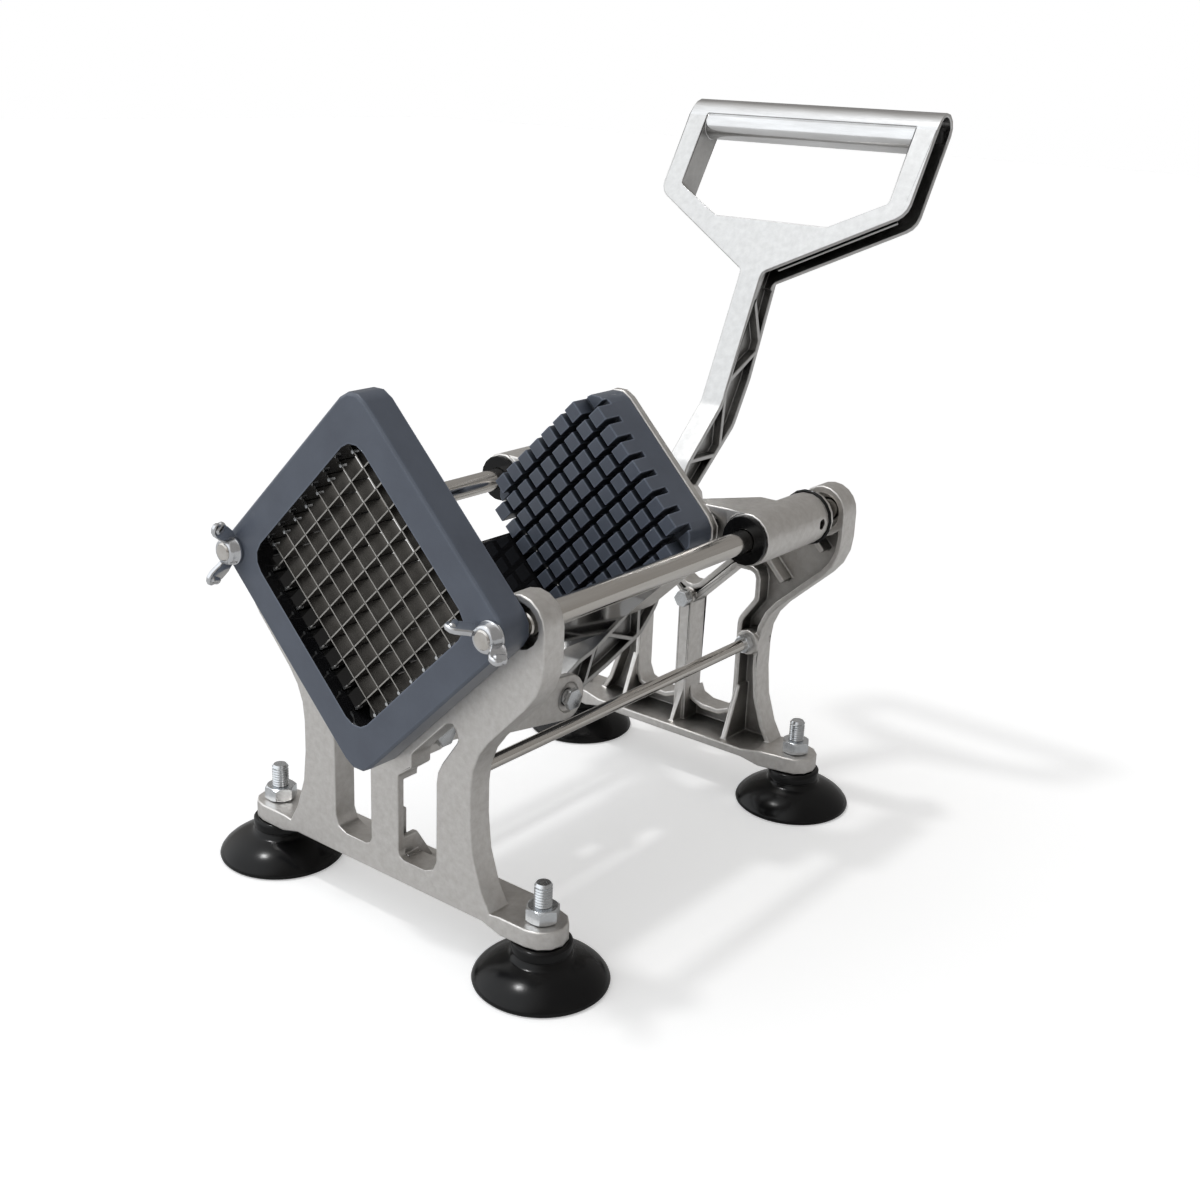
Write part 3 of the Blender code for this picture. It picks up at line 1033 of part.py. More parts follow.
def lever(mat):
    """I-section beam with truss ribs on both sides, eyes for its pins, and the D-handle."""
    pivot = Vector(LEVER_PIVOT)
    link_end = Vector(LINK_PIVOT)
    leg = pivot - link_end
    arm = Vector((LEVER_REACH, LEVER_RISE))
    neck = pivot + arm
    back = Vector((math.sin(HANDLE_ANGLE), -math.cos(HANDLE_ANGLE))) * HANDLE_DEPTH
    front = [pivot + Vector((leg.x * a, leg.y * b)) for a, b in FRONT_LEG_SHARES]
    front += [pivot + Vector((arm.x * a, arm.y * b)) for a, b in FRONT_ARM_SHARES]
    rear = [pivot + Vector((leg.x * a, leg.y * b)) for a, b in REAR_LEG_SHARES]
    rear += [pivot + Vector((arm.x * a, arm.y * b)) for a, b in REAR_ARM_SHARES]
    overlap = Vector((math.cos(HANDLE_ANGLE), math.sin(HANDLE_ANGLE))) * HANDLE_WALL
    top = [neck + overlap + back * TENON_SHARE, neck + overlap + back * (1 - TENON_SHARE)]
    corners = [(link_end.x, link_end.y - LEVER_EYE_RADIUS, 0)]
    corners += [(p.x, p.y, LEVER_BEND_RADIUS) for p in rear]
    corners += [(top[1].x, top[1].y, 0), (top[0].x, top[0].y, 0)]
    corners += [(p.x, p.y, LEVER_BEND_RADIUS) for p in reversed(front)]
    corners += [(link_end.x, link_end.y + LEVER_EYE_RADIUS, 0)]
    outline = anticlockwise(rounded(corners, ARC_STEPS - 1))
    half = LEVER_WIDTH / 2
    beam = prism("lever", outline, "X", -half, half)
    eye = cylinder("link_eye", "X", link_end, LEVER_EYE_RADIUS, -half, half)
    hub = cylinder("hub", "X", pivot, LEVER_HUB_RADIUS, -half, half)
    join(beam, eye, hub)

    inside = offset(outline, -LEVER_FLANGE)
    pockets = []
    for sign in (1, -1):
        pocket = prism("pocket", inside, "X", sign * LEVER_WEB / 2, sign * (half + CUT_OVERRUN))
        solids = [cylinder("keep_eye", "X", link_end, LEVER_EYE_RADIUS, 0, sign * (half + CUT_OVERRUN * 2)),
                  cylinder("keep_hub", "X", pivot, LEVER_HUB_RADIUS, 0, sign * (half + CUT_OVERRUN * 2))]
        for start, end in truss_lines(front + [neck], rear + [neck + back]):
            middle = (start + end) / 2
            angle = math.atan2(end.y - start.y, end.x - start.x)
            bar = slanted_bar(middle, angle, (end - start).length + LEVER_FLANGE * 2, LEVER_RIB)
            solids.append(prism("truss", bar, "X", 0, sign * (half + CUT_OVERRUN * 2)))
        cut(pocket, *solids)
        pockets.append(pocket)
    cut(beam, *pockets)
    join(beam, handle(neck))
    outer = half + CUT_OVERRUN
    holes = [cylinder("eye_hole", "X", place, PIN_RADIUS + PIN_GAP, -outer, outer, SMALL_SEGMENTS)
             for place in (LEVER_PIVOT, LINK_PIVOT)]
    cut(beam, *holes)
    return finish(pivot_at(beam, (0, pivot.x, pivot.y)), mat)


def along(line, share):
    """Point at a share of a polyline's length."""
    lengths = [(b - a).length for a, b in zip(line, line[1:])]
    left = share * sum(lengths)
    for start, end, length in zip(line, line[1:], lengths):
        if left <= length:
            return start.lerp(end, left / length)
        left -= length
    return line[-1]


def truss_lines(front, rear):
    """Ribs between the front and rear flange lines, each from its share of both."""
    return [(along(front, front_share), along(rear, rear_share))
            for front_share, rear_share in zip(TRUSS_FRONT_SHARES, TRUSS_REAR_SHARES)]


def roll_outside(radius):
    """Everything round and above a rolled top of a radius, in the handle's own plane."""
    middle = -HANDLE_DEPTH / 2
    around = HANDLE_DEPTH
    beyond = ROLL_HEIGHT + HANDLE_DEPTH * 3
    profile = arc((ROLL_HEIGHT, middle), radius, -math.pi / 2, math.pi / 2, ARC_STEPS * 2)
    profile += [(ROLL_HEIGHT, middle + around), (beyond, middle + around),
                (beyond, middle - around), (ROLL_HEIGHT, middle - around)]
    reach = HANDLE_HALF + HANDLE_DEPTH
    return prism("roll_outside", anticlockwise(profile), "X", -reach, reach)


def handle(neck):
    """D-handle in its own sloping plane: channel-section loop, rolled top and round grip."""
    opening_half = HANDLE_HALF - HANDLE_WALL
    wall_half = opening_half + HANDLE_FLANGE
    neck_half = LEVER_WIDTH / 2 + FIT / 2
    middle = -HANDLE_DEPTH / 2
    beyond = ROLL_HEIGHT + HANDLE_DEPTH
    right = [(neck_half, -HANDLE_NECK_ROOT, 0), (neck_half, HANDLE_NECK_CORNER, HANDLE_CORNER_RADIUS),
             (HANDLE_HALF, HANDLE_SHOULDER, HANDLE_CORNER_RADIUS), (HANDLE_HALF, beyond, 0)]
    loop = rounded(right + [(-a, b, r) for a, b, r in reversed(right)])
    hole = [(HANDLE_OPENING_BOTTOM_HALF, HANDLE_OPENING_BOTTOM, HANDLE_FLANGE),
            (opening_half, HANDLE_OPENING_CORNER, HANDLE_FLANGE), (opening_half, HANDLE_OPENING_TOP, 0)]
    opening = rounded(hole + [(-a, b, r) for a, b, r in reversed(hole)])
    body = prism("handle", loop, "Z", -HANDLE_DEPTH, 0)
    cut(body, roll_outside(HANDLE_DEPTH / 2),
        prism("opening", opening, "Z", -HANDLE_DEPTH - CUT_OVERRUN, CUT_OVERRUN))

    channel = prism("channel", offset(loop, CUT_OVERRUN / 2), "Z", -HANDLE_DEPTH + HANDLE_FLANGE,
                    -HANDLE_FLANGE)
    wall = prism("channel_wall", offset(opening, HANDLE_FLANGE), "Z", -HANDLE_DEPTH, 0)
    bar_zone = prism("bar_zone", [(-wall_half, GRIP_HEIGHT), (wall_half, GRIP_HEIGHT),
                                  (wall_half, beyond + HANDLE_DEPTH), (-wall_half, beyond + HANDLE_DEPTH)],
                     "Z", -HANDLE_DEPTH, 0)
    root_half = LEVER_WEB / 2 + FIT
    root_bottom = -HANDLE_NECK_ROOT - HANDLE_DEPTH
    root = prism("root", [(-root_half, root_bottom), (root_half, root_bottom),
                          (root_half, HANDLE_OPENING_BOTTOM), (-root_half, HANDLE_OPENING_BOTTOM)],
                 "Z", -HANDLE_DEPTH, 0)
    cut(channel, wall, bar_zone, root, roll_outside(HANDLE_DEPTH / 2 - HANDLE_FLANGE))
    cut(body, channel)
    grip_end = opening_half + HANDLE_FLANGE / 2
    join(body, cylinder("grip", "X", (GRIP_HEIGHT, middle), GRIP_RADIUS, -grip_end, grip_end))
    across = Vector((1, 0, 0))
    upward = Vector((0, math.cos(HANDLE_ANGLE), math.sin(HANDLE_ANGLE)))
    outward = across.cross(upward)
    turn = Matrix((across, upward, outward)).transposed().to_4x4()
    return move(body, Matrix.Translation((0, neck.x, neck.y)) @ turn)


def link(mat):
    """Link with a fork round the lever's lower eye and a tongue between the front frame's lugs."""
    big = Vector(LINK_PIVOT)
    small = Vector(FRAME_PIVOT)
    direction = small - big
    angle = math.atan2(direction.y, direction.x)
    lean = math.acos((LINK_EYE_RADIUS - LINK_TONGUE_RADIUS) / direction.length)
    outline = arc(small, LINK_TONGUE_RADIUS, angle - lean, angle + lean, ARC_STEPS * 2)
    outline += arc(big, LINK_EYE_RADIUS, angle + lean, angle + FULL_TURN - lean, ARC_STEPS * 3)
    half = LINK_WIDTH / 2
    body = prism("link", outline, "X", -half, half)
    along = direction.normalized()
    across = Vector((-along.y, along.x)) * (LINK_EYE_RADIUS + CUT_OVERRUN)
    fork = [big - along * (LINK_EYE_RADIUS + CUT_OVERRUN) - across, big + along * FORK_DEPTH - across,
            big + along * FORK_DEPTH + across, big - along * (LINK_EYE_RADIUS + CUT_OVERRUN) + across]
    cut(body, prism("fork", [(p.x, p.y) for p in fork], "X", -LINK_FORK_INNER, LINK_FORK_INNER))
    tongue = [small + along * (LINK_TONGUE_RADIUS + CUT_OVERRUN) - across,
              small - along * TONGUE_DEPTH - across,
              small - along * TONGUE_DEPTH + across,
              small + along * (LINK_TONGUE_RADIUS + CUT_OVERRUN) + across]
    side_outline = [(p.x, p.y) for p in tongue]
    tools = []
    for sign in (1, -1):
        tools.append(prism("tongue_side", side_outline, "X", sign * LINK_TONGUE / 2,
                           sign * (half + CUT_OVERRUN)))
        tools.append(cylinder("recess", "X", LINK_PIVOT, LINK_RECESS_RADIUS, sign * (half - LINK_RECESS),
                              sign * (half + CUT_OVERRUN)))
    tools += [cylinder("link_hole", "X", place, PIN_RADIUS + PIN_GAP, -half - CUT_OVERRUN, half + CUT_OVERRUN,
                       SMALL_SEGMENTS) for place in (LINK_PIVOT, FRAME_PIVOT)]
    cut(body, *tools)
    return finish(pivot_at(body, (0, big.x, big.y)), mat)


def pins(mat):
    """The lever's pin, the link's pin, and a short pin in each lug of the front frame."""
    lever_end = CLEVIS_INNER + CLEVIS_THICKNESS + RUNNING_GAP
    link_end = LINK_WIDTH / 2 + RUNNING_GAP
    finish(cylinder("lever_pin", "X", LEVER_PIVOT, PIN_RADIUS, -lever_end, lever_end, SMALL_SEGMENTS), mat)
    pin = cylinder("link_pin", "X", LINK_PIVOT, PIN_RADIUS, -link_end, link_end, SMALL_SEGMENTS)
    finish(pin, mat)
    near = LUG_INNER + FIT
    far = LUG_INNER + LUG_THICKNESS + RUNNING_GAP
    for side, sign in SIDES:
        finish(cylinder("frame_pin_" + side, "X", FRAME_PIVOT, PIN_RADIUS, sign * near, sign * far,
                        SMALL_SEGMENTS), mat)




def build():
    clear_scene()
    cast = material("cast aluminium", (0.50, 0.49, 0.47), 0.5, 1.0)
    polished = material("polished steel", (0.62, 0.59, 0.55), 0.2, 1.0)
    zinc = material("zinc plated steel", (0.66, 0.68, 0.72), 0.3, 1.0)
    plastic = material("slate plastic", (0.10, 0.12, 0.16), 0.45, 0.0)
    gloss = material("black gloss plastic", (0.012, 0.012, 0.014), 0.15, 0.0)
    rubber = material("black rubber", (0.015, 0.014, 0.014), 0.25, 0.0)
    steel = material("blade steel", (0.60, 0.56, 0.50), 0.3, 1.0)

    front_frame(cast)
    rear_frame(cast)
    blade_box(plastic)
    blades(steel)
    trough(gloss)
    for side, sign in SIDES:
        guide_rod(side, sign, polished)
        rod_nut(side, sign, zinc)
        tie_rod(side, sign, polished)
        for end in ("front", "rear"):
            tie_nut(side, sign, end, zinc)
        wing_nut(side, sign, zinc)
        sleeve_rings(side, sign, rubber)
        foot("front_" + side, sign * FRONT_FOOT_HALF, FRONT_FACE + FOOT_TAB_RADIUS, rubber, zinc)
        foot("rear_" + side, sign * REAR_FOOT_HALF, REAR_FACE - FOOT_TAB_RADIUS, rubber, zinc)
    stop_screw(zinc)
    carriage(cast)
    pusher_block(plastic)
    lever(cast)
    link(cast)
    pins(zinc)


build()
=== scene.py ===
"""Looks of the lever-operated french fry cutter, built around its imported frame."""
import math

import bmesh
import bpy
from mathutils import Matrix, Vector


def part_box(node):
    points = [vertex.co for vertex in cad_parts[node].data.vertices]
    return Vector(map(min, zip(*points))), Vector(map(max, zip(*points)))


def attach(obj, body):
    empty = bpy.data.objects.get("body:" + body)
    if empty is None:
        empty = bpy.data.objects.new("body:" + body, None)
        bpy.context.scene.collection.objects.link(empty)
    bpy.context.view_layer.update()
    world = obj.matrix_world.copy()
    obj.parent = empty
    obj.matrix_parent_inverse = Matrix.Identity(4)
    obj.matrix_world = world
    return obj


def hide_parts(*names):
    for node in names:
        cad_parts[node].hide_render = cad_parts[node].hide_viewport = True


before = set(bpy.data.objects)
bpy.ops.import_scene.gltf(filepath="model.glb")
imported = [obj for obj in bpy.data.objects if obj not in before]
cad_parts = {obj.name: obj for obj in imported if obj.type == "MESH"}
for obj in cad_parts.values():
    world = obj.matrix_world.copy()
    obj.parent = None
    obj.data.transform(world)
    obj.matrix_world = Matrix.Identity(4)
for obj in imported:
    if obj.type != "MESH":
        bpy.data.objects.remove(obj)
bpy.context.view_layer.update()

# Studio: a camera at the photograph's place and angle, in front of the cutter's right side
# and a little above it, over a plain white floor. A broad soft light stands high on the front left,
# the rest of the room is dimmer and warmer, and one lamp above gives the floor its shadow.
CAMERA_PLACE = (0.43484, -0.56274, 0.36518)
CAMERA_AZIMUTH = math.radians(37.73)
CAMERA_ELEVATION = math.radians(19.49)
CAMERA_ROLL = math.radians(2.34)
LENS_MM = 46.13
SENSOR_MM = 36.0
SIGHT_LENGTH = 30.0
FLOOR_SIZE = 12.0
FLOOR_COLOUR = (0.92, 0.92, 0.92, 1.0)
FLOOR_BOUNCE = (0.64, 0.64, 0.64, 1.0)
FLOOR_LIFT = 0.37
FLOOR_ROUGHNESS = 0.45
FLOOR_SHINE = 0.2
LAMP_FALL = (0.33, 0.20, -1.0)
LAMP_STRENGTH = 0.60
LAMP_SOFTNESS = math.radians(5.0)
SOFT_LIGHT_FROM = (-0.577, -0.651, 0.494)
SOFT_LIGHT_EDGE = 0.24
SOFT_LIGHT_CORE = 0.95
SOFT_LIGHT_STRENGTH = 1.24
ROOM_STRENGTH = 0.30
SOFT_LIGHT_TINT = (0.95, 0.975, 1.0, 1.0)
ROOM_TINT = (1.0, 0.975, 0.945, 1.0)
WHITE = (1.0, 1.0, 1.0, 1.0)

camera_data = bpy.data.cameras.new("camera")
camera_data.lens = LENS_MM
camera_data.sensor_width = SENSOR_MM
camera_data.clip_end = SIGHT_LENGTH
camera = bpy.data.objects.new("camera", camera_data)
bpy.context.scene.collection.objects.link(camera)
backward = Vector((math.sin(CAMERA_AZIMUTH) * math.cos(CAMERA_ELEVATION),
                   -math.cos(CAMERA_AZIMUTH) * math.cos(CAMERA_ELEVATION), math.sin(CAMERA_ELEVATION)))
level_right = Vector((math.cos(CAMERA_AZIMUTH), math.sin(CAMERA_AZIMUTH), 0.0))
level_up = backward.cross(level_right)
right = level_right * math.cos(CAMERA_ROLL) + level_up * math.sin(CAMERA_ROLL)
up = level_up * math.cos(CAMERA_ROLL) - level_right * math.sin(CAMERA_ROLL)
turned_axes = Matrix((right, up, backward)).transposed().to_4x4()
camera.matrix_world = Matrix.Translation(CAMERA_PLACE) @ turned_axes
bpy.context.scene.camera = camera
bpy.context.scene.view_settings.view_transform = "Standard"

lamp_data = bpy.data.lights.new("left_lamp", "SUN")
lamp_data.energy = LAMP_STRENGTH
lamp_data.angle = LAMP_SOFTNESS
lamp = bpy.data.objects.new("left_lamp", lamp_data)
lamp.rotation_euler = Vector(LAMP_FALL).to_track_quat("-Z", "Y").to_euler()
bpy.context.scene.collection.objects.link(lamp)

world = bpy.data.worlds.new("white_room")
bpy.context.scene.world = world
world.use_nodes = True
tree = world.node_tree
tree.nodes.clear()
way_out = tree.nodes.new("ShaderNodeTexCoord")
towards = tree.nodes.new("ShaderNodeVectorMath")
towards.operation = "DOT_PRODUCT"
towards.inputs[1].default_value = SOFT_LIGHT_FROM
tree.links.new(way_out.outputs["Generated"], towards.inputs[0])
share = tree.nodes.new("ShaderNodeMapRange")
share.interpolation_type = "SMOOTHSTEP"
share.inputs["From Min"].default_value = SOFT_LIGHT_EDGE
share.inputs["From Max"].default_value = SOFT_LIGHT_CORE
tree.links.new(towards.outputs["Value"], share.inputs["Value"])
brightness = tree.nodes.new("ShaderNodeMapRange")
brightness.inputs["To Min"].default_value = ROOM_STRENGTH
brightness.inputs["To Max"].default_value = SOFT_LIGHT_STRENGTH
tree.links.new(share.outputs["Result"], brightness.inputs["Value"])
tint = tree.nodes.new("ShaderNodeMix")
tint.data_type = "RGBA"
tint.inputs["A"].default_value = ROOM_TINT
tint.inputs["B"].default_value = SOFT_LIGHT_TINT
tree.links.new(share.outputs["Result"], tint.inputs["Factor"])
lighting = tree.nodes.new("ShaderNodeBackground")
tree.links.new(tint.outputs["Result"], lighting.inputs["Color"])
tree.links.new(brightness.outputs["Result"], lighting.inputs["Strength"])
seen = tree.nodes.new("ShaderNodeBackground")
seen.inputs["Color"].default_value = WHITE
path = tree.nodes.new("ShaderNodeLightPath")
camera_mix = tree.nodes.new("ShaderNodeMixShader")
output = tree.nodes.new("ShaderNodeOutputWorld")
tree.links.new(path.outputs["Is Camera Ray"], camera_mix.inputs["Fac"])
tree.links.new(lighting.outputs[0], camera_mix.inputs[1])
tree.links.new(seen.outputs[0], camera_mix.inputs[2])
tree.links.new(camera_mix.outputs[0], output.inputs["Surface"])

floor_bm = bmesh.new()
bmesh.ops.create_grid(floor_bm, x_segments=1, y_segments=1, size=FLOOR_SIZE / 2)
floor_mesh = bpy.data.meshes.new("floor")
floor_bm.to_mesh(floor_mesh)
floor_bm.free()
floor = bpy.data.objects.new("floor", floor_mesh)
bpy.context.scene.collection.objects.link(floor)
floor_material = bpy.data.materials.new("white_floor")
floor_material.use_nodes = True
floor_tree = floor_material.node_tree
floor_shader = floor_tree.nodes["Principled BSDF"]
floor_shader.inputs["Roughness"].default_value = FLOOR_ROUGHNESS
floor_shader.inputs["Specular IOR Level"].default_value = FLOOR_SHINE
floor_shader.inputs["Emission Color"].default_value = WHITE
floor_path = floor_tree.nodes.new("ShaderNodeLightPath")
floor_tone = floor_tree.nodes.new("ShaderNodeMix")
floor_tone.data_type = "RGBA"
floor_tone.inputs["A"].default_value = FLOOR_BOUNCE
floor_tone.inputs["B"].default_value = FLOOR_COLOUR
floor_tree.links.new(floor_path.outputs["Is Camera Ray"], floor_tone.inputs["Factor"])
floor_tree.links.new(floor_tone.outputs["Result"], floor_shader.inputs["Base Color"])
floor_lift = floor_tree.nodes.new("ShaderNodeMath")
floor_lift.operation = "MULTIPLY"
floor_lift.inputs[1].default_value = FLOOR_LIFT
floor_tree.links.new(floor_path.outputs["Is Camera Ray"], floor_lift.inputs[0])
floor_tree.links.new(floor_lift.outputs[0], floor_shader.inputs["Emission Strength"])
floor.data.materials.append(floor_material)


# Front and rear frames: aluminium castings, shaken with stones after casting, so every face is
# a fine dull grey and every edge is a little round. The rods, the blade box and the feet bolt to them.
CAST_LIGHT = (0.84, 0.82, 0.795)
CAST_DARK = (0.72, 0.695, 0.665)
CAST_EDGE = 0.0008
PATCH_DETAIL = 5.0
PATCH_ROUGHNESS = 0.62
GRAIN_DETAIL = 3.0
TONE_LIMITS = (0.32, 0.68)
SHADE_SAMPLES = 4
# Painted shade in recesses: ambient occlusion within this reach darkens the colour where less light falls.
RECESS_REACH = 0.018
RECESS_LIMITS = (0.25, 0.85)
RECESS_SHADE = 0.24
# Outer edges within this reach are painted lighter or darker: partly wear, partly painted highlight and
# painted shade.
EDGE_WEAR_AND_LIGHT_REACH = 0.0009
EDGE_WEAR_AND_LIGHT_LIMITS = (0.45, 0.95)
MERGE_DISTANCE = 0.00001
FLAT_WITHIN = math.radians(0.5)
SHARP_FROM = math.radians(32.0)
FLAT_WEIGHT = 100


def metal(name, light, dark, patch, grain, height, roughness, metallic=1.0, stretch=(1.0, 1.0, 1.0),
          painted_recess_shade=RECESS_SHADE, edge_wear_and_light=1.0, alone=True):
    """Surface whose colour drifts between two tones in patches, with a finer grain.

    Painted shade darkens it in its recesses. Its outer edges are lighter or darker than the rest: partly
    wear, partly painted highlight and painted shade."""
    material = bpy.data.materials.new(name)
    material.use_nodes = True
    nodes, links = material.node_tree.nodes, material.node_tree.links
    shader = nodes["Principled BSDF"]
    shader.inputs["Metallic"].default_value = metallic
    place = nodes.new("ShaderNodeTexCoord")
    drawn = nodes.new("ShaderNodeMapping")
    drawn.inputs["Scale"].default_value = stretch
    links.new(place.outputs["Object"], drawn.inputs["Vector"])
    patches = nodes.new("ShaderNodeTexNoise")
    patches.inputs["Scale"].default_value = 1.0 / patch
    patches.inputs["Detail"].default_value = PATCH_DETAIL
    patches.inputs["Roughness"].default_value = PATCH_ROUGHNESS
    links.new(drawn.outputs["Vector"], patches.inputs["Vector"])
    grains = nodes.new("ShaderNodeTexNoise")
    grains.inputs["Scale"].default_value = 1.0 / grain
    grains.inputs["Detail"].default_value = GRAIN_DETAIL
    links.new(drawn.outputs["Vector"], grains.inputs["Vector"])
    tone = nodes.new("ShaderNodeMapRange")
    tone.inputs["From Min"].default_value = TONE_LIMITS[0]
    tone.inputs["From Max"].default_value = TONE_LIMITS[1]
    links.new(patches.outputs["Fac"], tone.inputs["Value"])
    colour = nodes.new("ShaderNodeMix")
    colour.data_type = "RGBA"
    colour.inputs["A"].default_value = (*dark, 1.0)
    colour.inputs["B"].default_value = (*light, 1.0)
    links.new(tone.outputs["Result"], colour.inputs["Factor"])
    # Painted shade: the colour is scaled down where its own shape hems it in, or other parts too when it is
    # not alone.
    openness = nodes.new("ShaderNodeAmbientOcclusion")
    openness.samples = SHADE_SAMPLES
    openness.only_local = alone
    openness.inputs["Distance"].default_value = RECESS_REACH
    recess_shade_scale = nodes.new("ShaderNodeMapRange")
    recess_shade_scale.inputs["From Min"].default_value = RECESS_LIMITS[0]
    recess_shade_scale.inputs["From Max"].default_value = RECESS_LIMITS[1]
    recess_shade_scale.inputs["To Min"].default_value = painted_recess_shade
    recess_shade_scale.inputs["To Max"].default_value = 1.0
    links.new(openness.outputs["AO"], recess_shade_scale.inputs["Value"])
    recess_shaded = nodes.new("ShaderNodeVectorMath")
    recess_shaded.operation = "SCALE"
    links.new(colour.outputs["Result"], recess_shaded.inputs["Vector"])
    links.new(recess_shade_scale.outputs["Result"], recess_shaded.inputs["Scale"])
    # Painted edges: lighter or darker by the factor given, partly wear, partly painted highlight and painted
    # shade.
    edges = nodes.new("ShaderNodeAmbientOcclusion")
    edges.samples = SHADE_SAMPLES
    edges.inside = True
    edges.only_local = True
    edges.inputs["Distance"].default_value = EDGE_WEAR_AND_LIGHT_REACH
    edge_wear_light_scale = nodes.new("ShaderNodeMapRange")
    edge_wear_light_scale.inputs["From Min"].default_value = EDGE_WEAR_AND_LIGHT_LIMITS[0]
    edge_wear_light_scale.inputs["From Max"].default_value = EDGE_WEAR_AND_LIGHT_LIMITS[1]
    edge_wear_light_scale.inputs["To Min"].default_value = edge_wear_and_light
    edge_wear_light_scale.inputs["To Max"].default_value = 1.0
    links.new(edges.outputs["AO"], edge_wear_light_scale.inputs["Value"])
    edge_worn_and_lit = nodes.new("ShaderNodeVectorMath")
    edge_worn_and_lit.operation = "SCALE"
    links.new(recess_shaded.outputs["Vector"], edge_worn_and_lit.inputs["Vector"])
    links.new(edge_wear_light_scale.outputs["Result"], edge_worn_and_lit.inputs["Scale"])
    links.new(edge_worn_and_lit.outputs["Vector"], shader.inputs["Base Color"])
    gloss = nodes.new("ShaderNodeMapRange")
    gloss.inputs["To Min"].default_value = roughness[0]
    gloss.inputs["To Max"].default_value = roughness[1]
    links.new(grains.outputs["Fac"], gloss.inputs["Value"])
    links.new(gloss.outputs["Result"], shader.inputs["Roughness"])
    bump = nodes.new("ShaderNodeBump")
    bump.inputs["Distance"].default_value = height
    links.new(grains.outputs["Fac"], bump.inputs["Height"])
    links.new(bump.outputs["Normal"], shader.inputs["Normal"])
    return material


def dressed(piece, body, material, slot, *nodes):
    """Give a finished piece its material and its body, and hide the CAD nodes that it stands for. Its slot
    is not used.
    """
    piece.data.materials.append(material)
    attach(piece, body)
    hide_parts(*nodes)
    return piece


def softened(name, node, width, segments=3, reshape=None):
    """Copy of a CAD solid with its triangles joined into flat faces and its edges rounded."""
    bm = bmesh.new()
    bm.from_mesh(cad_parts[node].data)
    bmesh.ops.remove_doubles(bm, verts=bm.verts, dist=MERGE_DISTANCE)
    if reshape:
        reshape(bm)
        bmesh.ops.remove_doubles(bm, verts=bm.verts, dist=MERGE_DISTANCE)
    bmesh.ops.dissolve_limit(bm, angle_limit=FLAT_WITHIN, verts=bm.verts, edges=bm.edges,
                             delimit={"MATERIAL"})
    bmesh.ops.connect_verts_concave(bm, faces=bm.faces)
    mesh = bpy.data.meshes.new(name)
    bm.to_mesh(mesh)
    bm.free()
    piece = bpy.data.objects.new(name, mesh)
    bpy.context.scene.collection.objects.link(piece)
    mesh.shade_smooth()
    edges = piece.modifiers.new("round_edges", "BEVEL")
    edges.width = width
    edges.segments = segments
    edges.limit_method = "ANGLE"
    edges.angle_limit = SHARP_FROM
    edges.use_clamp_overlap = False
    flats = piece.modifiers.new("flat_faces", "WEIGHTED_NORMAL")
    flats.mode = "FACE_AREA"
    flats.weight = FLAT_WEIGHT
    return piece


# The castings take painted shade in their pockets and recesses.
cast = metal("cast_aluminium", CAST_LIGHT, CAST_DARK, patch=0.0035, grain=0.0006, height=0.00007,
             roughness=(0.32, 0.50))
for end in ("front", "rear"):
    casting = softened("cast_frame_" + end, end + "_frame", CAST_EDGE)
    dressed(casting, "base", cast, "cast_aluminium", end + "_frame")


# Guide rods and tie rods: ground and polished stainless bar, turned down at the ends and threaded.
# The guide rods run from the blade box through both frames; the thin tie rods brace the frames low down.
ROD_RADIUS = 0.0054
ROD_THREAD_RADIUS = 0.0040
ROD_FRONT_SHOULDER = -0.1454
ROD_REAR_SHOULDER = 0.0900
TIE_RADIUS = 0.0030
CHAMFER = 0.0006
THREAD_PITCH = 0.00125
THREAD_DEPTH = 0.00045
ROD_SEGMENTS = 64
POLISHED_LIGHT = (0.80, 0.775, 0.74)
POLISHED_DARK = (0.66, 0.625, 0.58)
AXLES = {
    "X": lambda radius, along, a, b: (along, a + radius, b),
    "Y": lambda radius, along, a, b: (a + radius, along, b),
    "Z": lambda radius, along, a, b: (a + radius, b, along),
}
DIRECTIONS = {"X": (1, 0, 0), "Y": (0, 1, 0), "Z": (0, 0, 1)}


def turned(bm, profile, axis, centre, segments=ROD_SEGMENTS):
    """Spin a profile of (radius, place along the axis) points about an axis, as on a lathe, into a bmesh."""
    points = [bm.verts.new(AXLES[axis](radius, along, *centre)) for radius, along in profile]
    lines = [bm.edges.new(pair) for pair in zip(points, points[1:])]
    bmesh.ops.spin(bm, geom=points + lines, cent=AXLES[axis](0.0, 0.0, *centre), axis=DIRECTIONS[axis],
                   angle=math.tau, steps=segments, use_merge=True)
    bmesh.ops.remove_doubles(bm, verts=bm.verts, dist=MERGE_DISTANCE)


def threads(start, end, radius):
    """Profile of a screw thread as close grooves, from start to end along the axis."""
    way = 1 if end > start else -1
    count = int(abs(end - start) / THREAD_PITCH)
    profile = []
    for i in range(count):
        crest = start + way * THREAD_PITCH * i
        profile.append((radius, crest))
        profile.append((radius - THREAD_DEPTH, crest + way * THREAD_PITCH / 2))
    return profile


def solid(name, bm, smooth_within=SHARP_FROM):
    """Close a bmesh into an object with outward faces, smooth but for its sharp edges."""
    bmesh.ops.remove_doubles(bm, verts=bm.verts, dist=MERGE_DISTANCE)
    bmesh.ops.recalc_face_normals(bm, faces=bm.faces)
    mesh = bpy.data.meshes.new(name)
    bm.to_mesh(mesh)
    bm.free()
    mesh.shade_smooth()
    mesh.set_sharp_from_angle(angle=smooth_within)
    piece = bpy.data.objects.new(name, mesh)
    bpy.context.scene.collection.objects.link(piece)
    return piece


